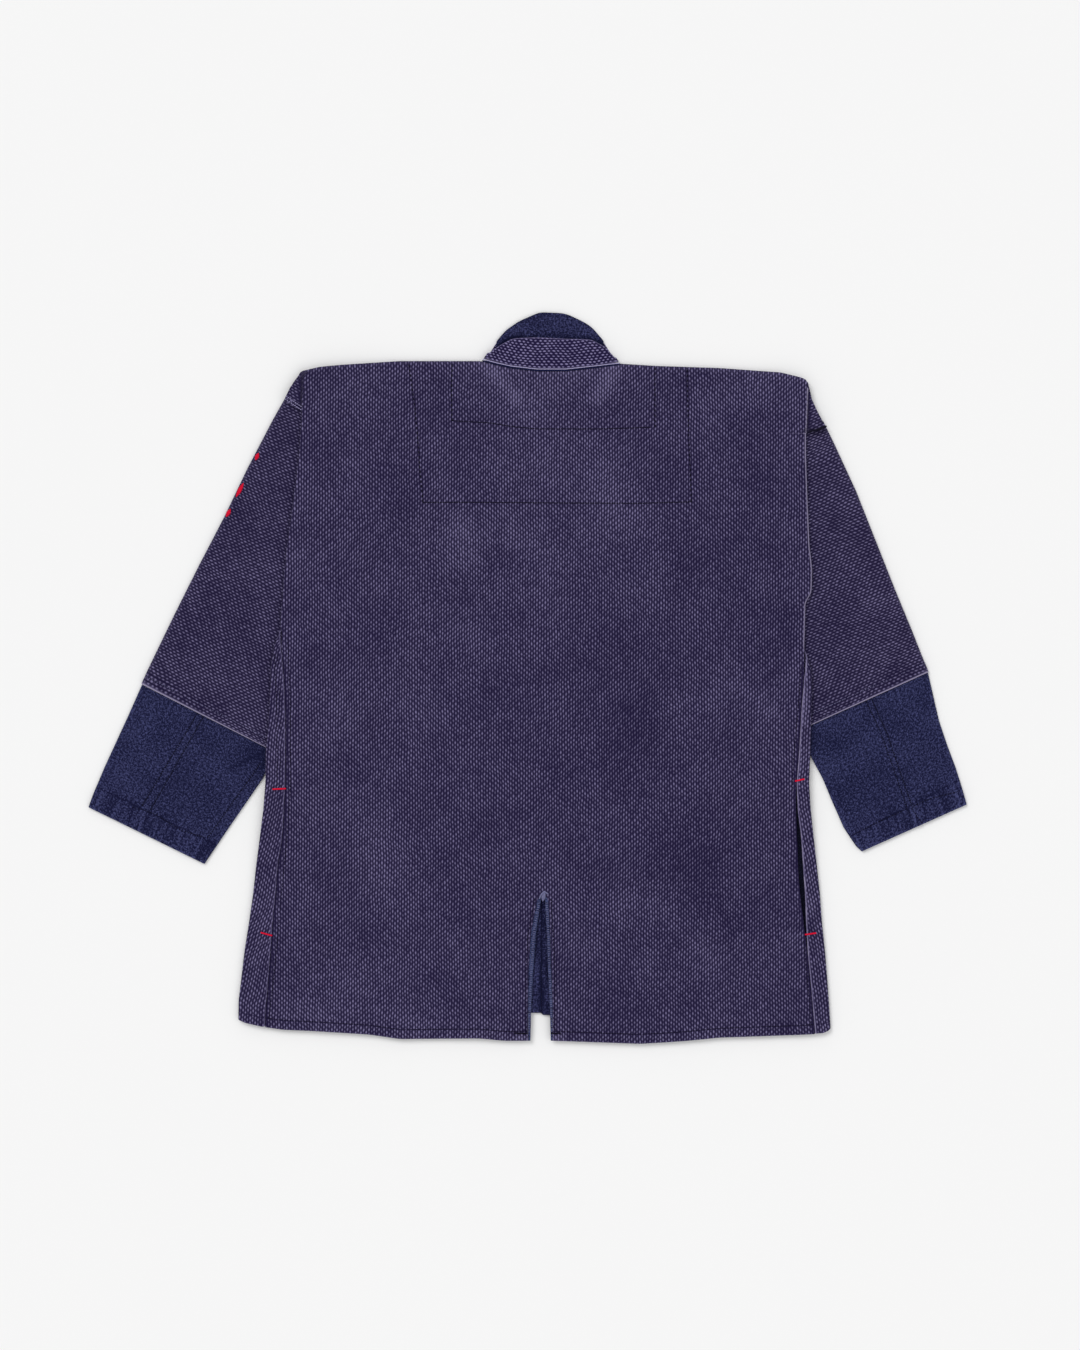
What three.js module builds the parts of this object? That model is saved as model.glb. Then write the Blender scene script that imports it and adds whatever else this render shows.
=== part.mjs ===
// Stand-collar jacket lying flat on its front, seen from the back.
// Millimetres, +Z up, +Y toward the neck, origin on the resting plane below the middle.
import * as THREE from 'three';

// Drafting grid: columns run right, rows run down from the neck.
const SQUARE = 1.14;
const DRAFT_CENTRE = { column: 528, row: 677.25 };

// Cloth weights and the small gaps left at the seams.
const BODY_CLOTH = 2.0;
const SLEEVE_CLOTH = 1.8;
const DENIM = 1.2;
const FACING_CLOTH = 0.8;
const POCKET_CLOTH = 0.5;
const BINDING_CLOTH = 2.2;
const SEAM_GAP = 0.35;
const SEAM_GAP_ON_FOLD = 2.2;
const FOLD_GAP_REACH = 7;

// Heights of the middle of each layer above the resting plane.
const FRONT_LEVEL = 1.0;
const BACK_ABOVE_FRONT = 4.4;
const SLEEVE_LOW = 0.9;
const SLEEVE_HIGH = 3.4;
const CUFF_LOW = 0.6;
const CUFF_HIGH = 2.4;
const LIFT_OVER_SLEEVE = 4.8;

// Hem and shoulder edges.
const HEM_ROW = 1040;
const HEM_FADE_ROW = 900;
const TOP_ROW = 372;
const TOP_FADE_ROW = 430;
const EDGE_ROLL = 1.7;
const FRONT_EDGE_COLUMN = 541.5;
const FRONT_EDGE_GAP = 0.6;

// Distance along the cloth from the outer fold to the first column inside it.
const FOLD_INSET = [9, 24];
const HALF_COLUMNS = [0.14, 0.3, 0.46, 0.62, 0.8, 1];

// Rows of the body from the hem to the shoulder.
const BODY_ROWS = [
  1040, 1028, 1008, 980, 950, 922, 904, 894, 866, 836, 808, 782, 757, 732, 707, 682, 660,
  645, 638, 631, 625, 619, 612, 602, 582, 556, 530, 504, 478, 455, 440, 431, 422, 411, 398, 387, 379,
];
const ROLL_ANGLES = [0, 30, 60, 90];

// Outer folds of the body and where the side seam lies from the fold, in squares.
// A seam below zero lies on the underside; gape opens the pocket mouth.
const BODY_SIDES = [
  { row: 1040, left: 238, leftSeam: 26, right: 831.5, rightSeam: 15.5, rightGape: 0 },
  { row: 1000, left: 238.5, leftSeam: 28, right: 829, rightSeam: 17, rightGape: 0 },
  { row: 950, left: 244.5, leftSeam: 26.5, right: 825, rightSeam: 18, rightGape: 0 },
  { row: 922, left: 249, leftSeam: 24, right: 822, rightSeam: 16.5, rightGape: 2 },
  { row: 894, left: 253, leftSeam: 23, right: 820, rightSeam: 15.5, rightGape: 4.5 },
  { row: 866, left: 256, leftSeam: 22, right: 817, rightSeam: 14.5, rightGape: 4.5 },
  { row: 836, left: 260, leftSeam: 23, right: 813.5, rightSeam: 13, rightGape: 3.5 },
  { row: 808, left: 263.5, leftSeam: 21, right: 810.5, rightSeam: 13.5, rightGape: 1.2 },
  { row: 782, left: 265.5, leftSeam: 20.5, right: 809, rightSeam: 13, rightGape: 0 },
  { row: 750, left: 266, leftSeam: 20, right: 810.5, rightSeam: 12, rightGape: 0 },
  { row: 714, left: 269, leftSeam: 17, right: 810, rightSeam: 9.5, rightGape: 0 },
  { row: 671, left: 270.5, leftSeam: 13.5, right: 809.5, rightSeam: 4.5, rightGape: 0 },
  { row: 646, left: 274, leftSeam: 8, right: 805.5, rightSeam: -1, rightGape: 0 },
  { row: 632, left: 279.5, leftSeam: 2, right: 805, rightSeam: -5, rightGape: 0 },
  { row: 608, left: 281.5, leftSeam: -7, right: 806, rightSeam: -12, rightGape: 0 },
  { row: 570, left: 284.5, leftSeam: -18, right: 813, rightSeam: -18, rightGape: 0 },
  { row: 545, left: 287, leftSeam: -20, right: 809.5, rightSeam: -20, rightGape: 0 },
  { row: 510, left: 292, leftSeam: -20, right: 808, rightSeam: -20, rightGape: 0 },
  { row: 456, left: 299, leftSeam: -18, right: 806, rightSeam: -18, rightGape: 0 },
  { row: 433, left: 300.5, leftSeam: -14, right: 806, rightSeam: -12, rightGape: 0 },
  { row: 427, left: 301, leftSeam: -12, right: 826, rightSeam: -12, rightGape: 0 },
  { row: 411, left: 302, leftSeam: -10, right: 817, rightSeam: -10, rightGape: 0 },
  { row: 398, left: 285, leftSeam: -9, right: 811, rightSeam: -9, rightGape: 0 },
  { row: 382, left: 293, leftSeam: -8, right: 808, rightSeam: -8, rightGape: 0 },
  { row: 372, left: 301, leftSeam: -7, right: 807, rightSeam: -7, rightGape: 0 },
];

// Hem line of the body.
const HEM_LINE = [
  { column: 238, row: 1020 }, { column: 264, row: 1026 }, { column: 320, row: 1031 },
  { column: 400, row: 1038.5 }, { column: 480, row: 1038 }, { column: 530, row: 1040 },
  { column: 551, row: 1040 }, { column: 640, row: 1043 }, { column: 680, row: 1040 },
  { column: 720, row: 1037 }, { column: 800, row: 1034 }, { column: 831, row: 1029 },
];
// The fronts end a little short of the back at the middle.
const FRONT_HEM_LINE = [
  { column: 238, row: 1020 }, { column: 264, row: 1024 }, { column: 400, row: 1020 },
  { column: 520, row: 1013 }, { column: 541, row: 1013 }, { column: 543, row: 1015 },
  { column: 600, row: 1018 }, { column: 760, row: 1028 }, { column: 831, row: 1029 },
];
// Shoulder line and back neck seam.
const TOP_LINE = [
  { column: 293, row: 378 }, { column: 303, row: 371 }, { column: 320, row: 367 },
  { column: 340, row: 365 }, { column: 400, row: 361 }, { column: 483, row: 361 },
  { column: 511, row: 366 }, { column: 537, row: 369 }, { column: 566, row: 369 },
  { column: 594, row: 366 }, { column: 619, row: 363.5 }, { column: 660, row: 366 },
  { column: 720, row: 368 }, { column: 780, row: 373 }, { column: 800, row: 378 },
  { column: 808, row: 388 },
];
const FRONT_TOP_LINE = [
  { column: 293, row: 378 }, { column: 303, row: 371 }, { column: 320, row: 367 },
  { column: 340, row: 365 }, { column: 400, row: 361 }, { column: 483, row: 361.5 },
  { column: 511, row: 357.5 }, { column: 541, row: 356 }, { column: 571, row: 357.5 },
  { column: 619, row: 363.5 }, { column: 660, row: 366 },
  { column: 720, row: 368 }, { column: 780, row: 373 }, { column: 800, row: 378 },
  { column: 808, row: 388 },
];

// Back vent: its middle, its upper end, and the columns of its sides and bindings.
const VENT_COLUMN = 544;
const VENT_TOP_ROW = 894;
const VENT = [
  { row: 1045, left: 528, leftIn: 530.4, right: 552.5, rightIn: 551 },
  { row: 1009, left: 528, leftIn: 531.5, right: 553, rightIn: 549.5 },
  { row: 970, left: 528, leftIn: 534, right: 551.5, rightIn: 547.3 },
  { row: 933, left: 530, leftIn: 537, right: 550.5, rightIn: 545.6 },
  { row: 900, left: 537, leftIn: 541.5, right: 548.5, rightIn: 543.6 },
  { row: 894, left: 544, leftIn: 542.9, right: 544, rightIn: 543.3 },
  { row: 360, left: 544, leftIn: 542.9, right: 544, rightIn: 543.3 },
];

// Sleeves from the hidden armhole end to the sashiko hem, outer and inner folds.
const SLEEVE_LEFT = [
  { outer: [291, 391], inner: [459, 480] },
  { outer: [273, 421], inner: [438, 512] },
  { outer: [248, 469], inner: [405, 556] },
  { outer: [224, 517], inner: [373, 603] },
  { outer: [199, 565], inner: [340, 650] },
  { outer: [175, 613], inner: [309, 695] },
  { outer: [152, 660.5], inner: [281, 737] },
  { outer: [147, 671], inner: [275, 745] },
  { outer: [141, 684], inner: [271, 750] },
];
const SLEEVE_RIGHT = [
  { outer: [822, 421], inner: [651, 499] },
  { outer: [833, 445], inner: [668, 531] },
  { outer: [855, 491], inner: [692, 570] },
  { outer: [876, 541], inner: [717, 611] },
  { outer: [895, 589], inner: [744, 652] },
  { outer: [911.5, 629], inner: [770, 693] },
  { outer: [923, 658], inner: [789, 722] },
  { outer: [926, 665], inner: [793, 728] },
  { outer: [929, 672], inner: [796, 732] },
];
// Denim lower sleeves down to the cuff edge.
const CUFF_LEFT = [
  { outer: [141.7, 684.8], inner: [269.5, 749.6] },
  { outer: [127, 718], inner: [259, 781] },
  { outer: [115, 744], inner: [243, 804] },
  { outer: [104, 768], inner: [226, 828] },
  { outer: [93, 793], inner: [211, 851] },
  { outer: [88.5, 805], inner: [205, 862] },
];
const CUFF_RIGHT = [
  { outer: [928.2, 672.7], inner: [797.5, 731.7] },
  { outer: [939, 720], inner: [823, 779] },
  { outer: [947, 744], inner: [833, 803] },
  { outer: [956, 768], inner: [844, 828] },
  { outer: [963.5, 792], inner: [856, 846] },
  { outer: [967, 804.5], inner: [862, 851.5] },
];

// Ground covered by each sleeve and cuff below the body.
const SLEEVE_GROUND = [
  [[286, 388], [460, 478], [272, 752], [140, 684]],
  [[652, 496], [826, 418], [930, 673], [795, 734]],
];
const CUFF_GROUND = [
  [[141, 684], [270, 750], [206, 864], [88, 804]],
  [[797, 731], [930, 673], [968, 806], [862, 853]],
];
const SLEEVE_LIFT_FULL = 34;
const SLEEVE_LIFT_END = 92;
const CUFF_LIFT_FULL = 16;
const CUFF_LIFT_END = 62;

// Broad soft ridges of the back, from one draft point to another.
const BACK_RIDGES = [
  { from: [303, 378], to: [303, 409], height: 1.2, width: 14 },
  { from: [803, 392], to: [804, 430], height: 1.2, width: 14 },
  { from: [330, 620], to: [430, 560], height: 1.2, width: 22 },
  { from: [780, 640], to: [690, 570], height: 1.1, width: 22 },
  { from: [470, 400], to: [400, 520], height: 0.9, width: 26 },
  { from: [630, 400], to: [690, 520], height: 0.9, width: 26 },
  { from: [300, 760], to: [320, 940], height: 1.0, width: 20 },
  { from: [760, 780], to: [745, 930], height: 1.2, width: 20 },
  { from: [470, 880], to: [480, 1020], height: 0.9, width: 22 },
  { from: [610, 860], to: [620, 1010], height: 1.0, width: 24 },
];
const SLEEVE_RIDGES = [
  { from: [218, 540], to: [246, 572], height: 1.4, width: 11 },
  { from: [185, 620], to: [236, 652], height: 1.3, width: 11 },
  { from: [872, 545], to: [848, 568], height: 1.4, width: 11 },
  { from: [905, 620], to: [852, 650], height: 1.3, width: 11 },
];

// Collar: the back half lies over the front half; low is the neck seam, high the top edge.
const COLLAR_BACK = [
  { low: [484.5, 358.5], high: [488.5, 353.5], rise: 2.0 },
  { low: [497, 362], high: [500, 345.5], rise: 2.6 },
  { low: [511, 365], high: [513, 338.5], rise: 2.4 },
  { low: [537, 367.4], high: [538, 337.5], rise: 1.6 },
  { low: [566, 367.4], high: [565, 339], rise: 1.4 },
  { low: [594, 365], high: [591, 339.5], rise: 1.4 },
  { low: [608, 363.5], high: [605, 347], rise: 1.4 },
  { low: [618, 362], high: [615.5, 358.5], rise: 1.2 },
];
const COLLAR_FRONT = [
  { low: [484.5, 358.5], high: [488.5, 353.5] },
  { low: [494, 357.5], high: [499.5, 339.5] },
  { low: [505, 356], high: [509, 331] },
  { low: [519, 355], high: [521, 322.5] },
  { low: [540, 354], high: [540, 314.6] },
  { low: [543, 354], high: [543, 314.4] },
  { low: [566, 355], high: [565, 315.4] },
  { low: [588, 357.5], high: [588, 326.5] },
  { low: [603, 360], high: [602, 342] },
  { low: [618, 362], high: [615.5, 358.5] },
];
const COLLAR_FRONT_LEVEL = 1.0;
const COLLAR_BACK_LEVEL = 5.4;
const COLLAR_FRONT_INSET = 0.15;
const COLLAR_TURN_RADIUS = (COLLAR_BACK_LEVEL - COLLAR_FRONT_LEVEL) / 2;
const COLLAR_TURN_ANGLES = [35, 70, 110, 145];
const COLLAR_HEIGHT_STEPS = [0, 0.3, 0.65, 1];

function toX(column) {
  return (column - DRAFT_CENTRE.column) * SQUARE;
}

function toY(row) {
  return (DRAFT_CENTRE.row - row) * SQUARE;
}

function mix(from, to, share) {
  return from + (to - from) * share;
}

function clamp(value, low, high) {
  return Math.min(high, Math.max(low, value));
}

function smooth(value) {
  const share = clamp(value, 0, 1);
  return share * share * (3 - 2 * share);
}

// Reads one column of a table whose rows are ordered by the given key.
function lookUp(table, key, at, name) {
  const rising = table[0][key] < table[table.length - 1][key];
  for (let i = 0; i < table.length - 1; i++) {
    const here = table[i];
    const next = table[i + 1];
    const inside = rising ? at <= next[key] : at >= next[key];
    if (inside || i === table.length - 2) {
      const share = clamp((at - here[key]) / (next[key] - here[key]), 0, 1);
      return mix(here[name], next[name], share);
    }
  }
  return 0;
}

// Distance outside a convex patch of ground, in millimetres, zero or less inside it.
function distanceOutside(corners, x, y) {
  let farthest = -Infinity;
  const points = corners.map(([column, row]) => [toX(column), toY(row)]);
  const middle = [0, 1].map((axis) => points.reduce((sum, p) => sum + p[axis], 0) / points.length);
  points.forEach((point, i) => {
    const next = points[(i + 1) % points.length];
    const edge = [next[0] - point[0], next[1] - point[1]];
    const length = Math.hypot(edge[0], edge[1]);
    let normal = [edge[1] / length, -edge[0] / length];
    const inward = (middle[0] - point[0]) * normal[0] + (middle[1] - point[1]) * normal[1];
    if (inward > 0) {
      normal = [-normal[0], -normal[1]];
    }
    farthest = Math.max(farthest, (x - point[0]) * normal[0] + (y - point[1]) * normal[1]);
  });
  return farthest;
}

// How far the body is held up by the sleeves and cuffs below it.
function liftAt(x, y) {
  let lift = 0;
  for (const ground of SLEEVE_GROUND) {
    const away = distanceOutside(ground, x, y);
    const share = 1 - smooth((away - SLEEVE_LIFT_FULL) / (SLEEVE_LIFT_END - SLEEVE_LIFT_FULL));
    lift = Math.max(lift, LIFT_OVER_SLEEVE * share);
  }
  for (const ground of CUFF_GROUND) {
    const away = distanceOutside(ground, x, y);
    const share = 1 - smooth((away - CUFF_LIFT_FULL) / (CUFF_LIFT_END - CUFF_LIFT_FULL));
    lift = Math.max(lift, LIFT_OVER_SLEEVE * share);
  }
  return lift;
}

// Soft ridge height at a point.
function ridgeAt(ridges, x, y) {
  let height = 0;
  for (const ridge of ridges) {
    const from = [toX(ridge.from[0]), toY(ridge.from[1])];
    const to = [toX(ridge.to[0]), toY(ridge.to[1])];
    const run = [to[0] - from[0], to[1] - from[1]];
    const square = run[0] * run[0] + run[1] * run[1];
    const along = ((x - from[0]) * run[0] + (y - from[1]) * run[1]) / square;
    const nearest = clamp(along, 0, 1);
    const gap = Math.hypot(x - from[0] - run[0] * nearest, y - from[1] - run[1] * nearest);
    height = Math.max(height, ridge.height * Math.exp(-((gap / ridge.width) ** 2)));
  }
  return height;
}

function frontLevelAt(x, y) {
  return FRONT_LEVEL + liftAt(x, y);
}

function backLevelAt(x, y) {
  return frontLevelAt(x, y) + BACK_ABOVE_FRONT + ridgeAt(BACK_RIDGES, x, y);
}

// Row on the cloth after the hem and shoulder lines have bent it.
function bentRow(row, column, hemLine, topLine) {
  const hemShare = smooth((row - HEM_FADE_ROW) / (HEM_ROW - HEM_FADE_ROW));
  const topShare = smooth((TOP_FADE_ROW - row) / (TOP_FADE_ROW - TOP_ROW));
  const hemShift = lookUp(hemLine, 'column', column, 'row') - HEM_ROW;
  const topShift = lookUp(topLine, 'column', column, 'row') - TOP_ROW;
  return row + hemShift * hemShare + topShift * topShare;
}

// Solid of even thickness on a middle surface given as points and four-sided faces.
function thicken(name, points, faces, thickness, colour) {
  const normals = points.map(() => new THREE.Vector3());
  const vectors = points.map((point) => new THREE.Vector3(point[0], point[1], point[2]));
  for (const face of faces) {
    const across = vectors[face[2]].clone().sub(vectors[face[0]]);
    const other = vectors[face[3]].clone().sub(vectors[face[1]]);
    const normal = across.cross(other).normalize();
    face.forEach((corner) => normals[corner].add(normal));
  }
  const half = thickness / 2;
  const positions = [];
  for (const side of [1, -1]) {
    vectors.forEach((vector, i) => {
      const moved = vector.clone().addScaledVector(normals[i].clone().normalize(), side * half);
      positions.push(moved.x, moved.y, moved.z);
    });
  }
  const count = points.length;
  const triangles = [];
  const edges = new Map();
  for (const [a, b, c, d] of faces) {
    const crowned = points[a][2] + points[c][2] >= points[b][2] + points[d][2];
    const halves = crowned ? [[a, b, c], [a, c, d]] : [[b, c, d], [b, d, a]];
    for (const [first, second, third] of halves) {
      triangles.push(first, second, third, first + count, third + count, second + count);
    }
    for (const [from, to] of [[a, b], [b, c], [c, d], [d, a]]) {
      const back = `${to}_${from}`;
      if (edges.has(back)) {
        edges.delete(back);
      } else {
        edges.set(`${from}_${to}`, [from, to]);
      }
    }
  }
  for (const [from, to] of edges.values()) {
    triangles.push(from, to + count, to, from, from + count, to + count);
  }
  const geometry = new THREE.BufferGeometry();
  geometry.setAttribute('position', new THREE.Float32BufferAttribute(positions, 3));
  geometry.setIndex(triangles);
  geometry.computeVertexNormals();
  const material = new THREE.MeshStandardMaterial({ color: colour, roughness: 0.9, metalness: 0 });
  const mesh = new THREE.Mesh(geometry, material);
  mesh.name = name;
  return mesh;
}

// Faces between neighbouring rows of a grid; the first row runs along increasing columns.
function gridFaces(rows, columns, closed = false) {
  const faces = [];
  const last = closed ? columns : columns - 1;
  for (let r = 0; r < rows - 1; r++) {
    for (let c = 0; c < last; c++) {
      const next = (c + 1) % columns;
      faces.push([r * columns + c, r * columns + next, (r + 1) * columns + next, (r + 1) * columns + c]);
    }
  }
  return faces;
}

// Point on the folded cloth at a distance from the outer fold, over it or below it.
function foldedPoint(side, row, distance) {
  const inward = side === 'left' ? 1 : -1;
  const edge = toX(lookUp(BODY_SIDES, 'row', row, side)) + inward * BODY_CLOTH / 2;
  const y = toY(row);
  const low = frontLevelAt(edge, y);
  const high = low + BACK_ABOVE_FRONT;
  const radius = (high - low) / 2;
  const quarter = radius * Math.PI / 2;
  if (distance > quarter) {
    const x = edge + inward * (radius + distance - quarter);
    return [x, y, backLevelAt(x, y)];
  }
  if (distance < -quarter) {
    const x = edge + inward * (radius - distance - quarter);
    return [x, y, frontLevelAt(x, y)];
  }
  const angle = distance / radius;
  return [edge + inward * radius * (1 - Math.cos(angle)), y, (low + high) / 2 + radius * Math.sin(angle)];
}

// Distances from the fold at which the cloth bends round it.
const FOLD_RADIUS = BACK_ABOVE_FRONT / 2;
const FOLD_STOPS = [-1, -0.5, 0, 0.5, 1].map((share) => share * FOLD_RADIUS * Math.PI / 2);
const STOP_SPACING = 0.9;

// Rolls the last rows of a panel over the shoulder edge.
function rolledRow(rowInfo, column, hemLine, topLine) {
  const edge = bentRow(rowInfo.row, column, hemLine, topLine);
  if (rowInfo.angle === null) {
    return { row: edge, drop: 0 };
  }
  const angle = rowInfo.angle * Math.PI / 180;
  const inset = BODY_CLOTH / 2 + EDGE_ROLL * (1 - Math.sin(angle));
  return { row: edge + inset / SQUARE, drop: EDGE_ROLL * (1 - Math.cos(angle)) };
}

// The seam needs more room where it runs round the fold.
function seamGap(distance) {
  return mix(SEAM_GAP, SEAM_GAP_ON_FOLD, Math.exp(-((distance / FOLD_GAP_REACH) ** 2)));
}

function bodyRowList() {
  const rows = BODY_ROWS.map((row) => ({ row, angle: null }));
  ROLL_ANGLES.forEach((angle) => rows.push({ row: TOP_ROW, angle }));
  return rows;
}

function sideRow(side, rowInfo, hemLine, topLine) {
  const guess = lookUp(BODY_SIDES, 'row', rowInfo.row, side);
  return rolledRow(rowInfo, guess, hemLine, topLine);
}

// One half of the back from its side seam to the middle.
function backHalfRow(side, rowInfo) {
  const { row, drop } = sideRow(side, rowInfo, HEM_LINE, TOP_LINE);
  const gape = side === 'right' ? lookUp(BODY_SIDES, 'row', row, 'rightGape') : 0;
  const seamLine = lookUp(BODY_SIDES, 'row', row, `${side}Seam`) * SQUARE;
  const seam = seamLine + gape * SQUARE + seamGap(seamLine) / 2;
  const distances = [seam];
  FOLD_STOPS.forEach((stop) => distances.push(Math.max(stop, distances[distances.length - 1] + STOP_SPACING)));
  FOLD_INSET.forEach((inset) => {
    distances.push(Math.max(inset, distances[distances.length - 1] + STOP_SPACING * 3));
  });
  const points = distances.map((distance) => {
    const point = foldedPoint(side, row, distance);
    const sign = distance > 0 ? -1 : 1;
    return [point[0], point[1], point[2] + sign * drop * Math.min(1, Math.abs(distance) / 3)];
  });
  const start = points[points.length - 1];
  const middleRow = rolledRow(rowInfo, VENT_COLUMN, HEM_LINE, TOP_LINE).row;
  const middle = toX(lookUp(VENT, 'row', middleRow, side));
  HALF_COLUMNS.forEach((share) => {
    const x = mix(start[0], middle, share);
    const column = x / SQUARE + DRAFT_CENTRE.column;
    const place = rolledRow(rowInfo, column, HEM_LINE, TOP_LINE);
    const y = toY(place.row);
    points.push([x, y, backLevelAt(x, y) - place.drop]);
  });
  return points;
}

function buildBack() {
  const rows = bodyRowList();
  const left = rows.map((rowInfo) => backHalfRow('left', rowInfo));
  const right = rows.map((rowInfo) => backHalfRow('right', rowInfo));
  const width = left[0].length;
  const points = [];
  const indexLeft = [];
  const indexRight = [];
  rows.forEach((rowInfo, r) => {
    const open = rowInfo.row > VENT_TOP_ROW;
    indexLeft.push(left[r].map((point) => points.push(point) - 1));
    indexRight.push(right[r].map((point, c) => {
      const shared = c === width - 1 && !open;
      return shared ? indexLeft[r][width - 1] : points.push(point) - 1;
    }));
  });
  const faces = [];
  for (let r = 0; r < rows.length - 1; r++) {
    for (let c = 0; c < width - 1; c++) {
      faces.push([indexLeft[r][c], indexLeft[r][c + 1], indexLeft[r + 1][c + 1], indexLeft[r + 1][c]]);
      faces.push([indexRight[r][c + 1], indexRight[r][c], indexRight[r + 1][c], indexRight[r + 1][c + 1]]);
    }
  }
  return thicken('back_panel', points, faces, BODY_CLOTH, 0x3c3754);
}

// One front from its side seam round the outer fold to the middle opening.
function frontRow(side, rowInfo) {
  const { row, drop } = sideRow(side, rowInfo, FRONT_HEM_LINE, FRONT_TOP_LINE);
  const seamLine = lookUp(BODY_SIDES, 'row', row, `${side}Seam`) * SQUARE;
  const seam = seamLine - seamGap(seamLine) / 2;
  const distances = [seam];
  const strip = Math.max(seam / 2, FOLD_STOPS[4] + STOP_SPACING);
  distances.push(Math.min(strip, seam - STOP_SPACING));
  [...FOLD_STOPS].reverse().forEach((stop) => {
    distances.push(Math.min(stop, distances[distances.length - 1] - STOP_SPACING));
  });
  FOLD_INSET.forEach((inset) => {
    distances.push(Math.min(-inset, distances[distances.length - 1] - STOP_SPACING * 3));
  });
  const points = distances.map((distance) => {
    const point = foldedPoint(side, row, distance);
    const sign = distance > 0 ? -1 : 1;
    return [point[0], point[1], point[2] + sign * drop * Math.min(1, Math.abs(distance) / 3)];
  });
  const start = points[points.length - 1];
  const sign = side === 'left' ? -1 : 1;
  const middle = toX(FRONT_EDGE_COLUMN) + sign * FRONT_EDGE_GAP / 2;
  HALF_COLUMNS.forEach((share) => {
    const x = mix(start[0], middle, share);
    const column = x / SQUARE + DRAFT_CENTRE.column;
    const place = rolledRow(rowInfo, column, FRONT_HEM_LINE, FRONT_TOP_LINE);
    const y = toY(place.row);
    points.push([x, y, frontLevelAt(x, y) + place.drop]);
  });
  return points;
}

function frontGrid(side) {
  return bodyRowList().map((rowInfo) => frontRow(side, rowInfo));
}

function sheetFromGrid(name, grid, thickness, colour, flip, closed = false) {
  const points = grid.flat();
  let faces = gridFaces(grid.length, grid[0].length, closed);
  if (flip) {
    faces = faces.map((face) => [...face].reverse());
  }
  return thicken(name, points, faces, thickness, colour);
}

// Piece lying on a panel: the panel's own points moved straight out from its inner face.
function raisedGrid(grid, firstRow, lastRow, firstColumn, lastColumn, raise) {
  const rows = [];
  for (let r = firstRow; r <= lastRow; r++) {
    const row = [];
    for (let c = firstColumn; c <= lastColumn; c++) {
      const [x, y, z] = grid[r][c];
      row.push([x, y, z + raise]);
    }
    rows.push(row);
  }
  return rows;
}

function buildFacing(side, grid) {
  const last = grid[0].length - 1;
  const raise = BODY_CLOTH / 2 + SEAM_GAP + FACING_CLOTH / 2;
  const strip = raisedGrid(grid, 0, BODY_ROWS.length - 3, last - 1, last, raise);
  return sheetFromGrid(`front_facing_${side}`, strip, FACING_CLOTH, 0x232848, side === 'right');
}

// Pocket bag: lower layer, a fold at its inner end, upper layer back to the mouth.
const POCKET_FIRST_ROW = 3;
const POCKET_LAST_ROW = 11;
const POCKET_FIRST_COLUMN = 7;
const POCKET_LAST_COLUMN = 11;

function buildPocket(side, grid) {
  const low = BODY_CLOTH / 2 + SEAM_GAP + POCKET_CLOTH / 2;
  const high = low + POCKET_CLOTH + SEAM_GAP;
  const rows = [];
  for (let r = POCKET_FIRST_ROW; r <= POCKET_LAST_ROW; r++) {
    const row = [];
    for (let c = POCKET_FIRST_COLUMN; c <= POCKET_LAST_COLUMN; c++) {
      const [x, y, z] = grid[r][c];
      row.push([x, y, z + low]);
    }
    const [x, y, z] = grid[r][POCKET_LAST_COLUMN];
    const inward = side === 'left' ? 1 : -1;
    row.push([x + inward * 0.6, y, z + (low + high) / 2]);
    for (let c = POCKET_LAST_COLUMN; c > POCKET_FIRST_COLUMN; c--) {
      const [bx, by, bz] = grid[r][c];
      row.push([bx, by, bz + high]);
    }
    rows.push(row);
  }
  return sheetFromGrid(`pocket_bag_${side}`, rows, POCKET_CLOTH, 0x1b1d33, side === 'right');
}

// Flat tube between an outer and an inner fold, open at both ends.
const TUBE_SHARES = [0, 0.1, 0.28, 0.5, 0.72, 0.9, 1];
const TUBE_TURNS = [45, 0, -45];

function tubeRing(station, low, high, wall, ridges) {
  const outer = new THREE.Vector2(toX(station.outer[0]), toY(station.outer[1]));
  const inner = new THREE.Vector2(toX(station.inner[0]), toY(station.inner[1]));
  const across = inner.clone().sub(outer).normalize();
  const radius = (high - low) / 2;
  const inset = wall / 2 + radius;
  const from = outer.clone().addScaledVector(across, inset);
  const to = inner.clone().addScaledVector(across, -inset);
  const ring = [];
  TUBE_SHARES.forEach((share) => {
    const point = from.clone().lerp(to, share);
    ring.push([point.x, point.y, high + ridgeAt(ridges, point.x, point.y)]);
  });
  TUBE_TURNS.forEach((turn) => {
    const angle = turn * Math.PI / 180;
    const point = to.clone().addScaledVector(across, radius * Math.cos(angle));
    ring.push([point.x, point.y, (low + high) / 2 + radius * Math.sin(angle)]);
  });
  [...TUBE_SHARES].reverse().forEach((share) => {
    const point = from.clone().lerp(to, share);
    ring.push([point.x, point.y, low]);
  });
  [...TUBE_TURNS].reverse().forEach((turn) => {
    const angle = turn * Math.PI / 180;
    const point = from.clone().addScaledVector(across, -radius * Math.cos(angle));
    ring.push([point.x, point.y, (low + high) / 2 + radius * Math.sin(angle)]);
  });
  return ring;
}

function buildTube(name, stations, low, high, wall, ridges, colour, flip) {
  const grid = stations.map((station) => tubeRing(station, low, high, wall, ridges));
  return sheetFromGrid(name, grid, wall, colour, flip, true);
}

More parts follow.
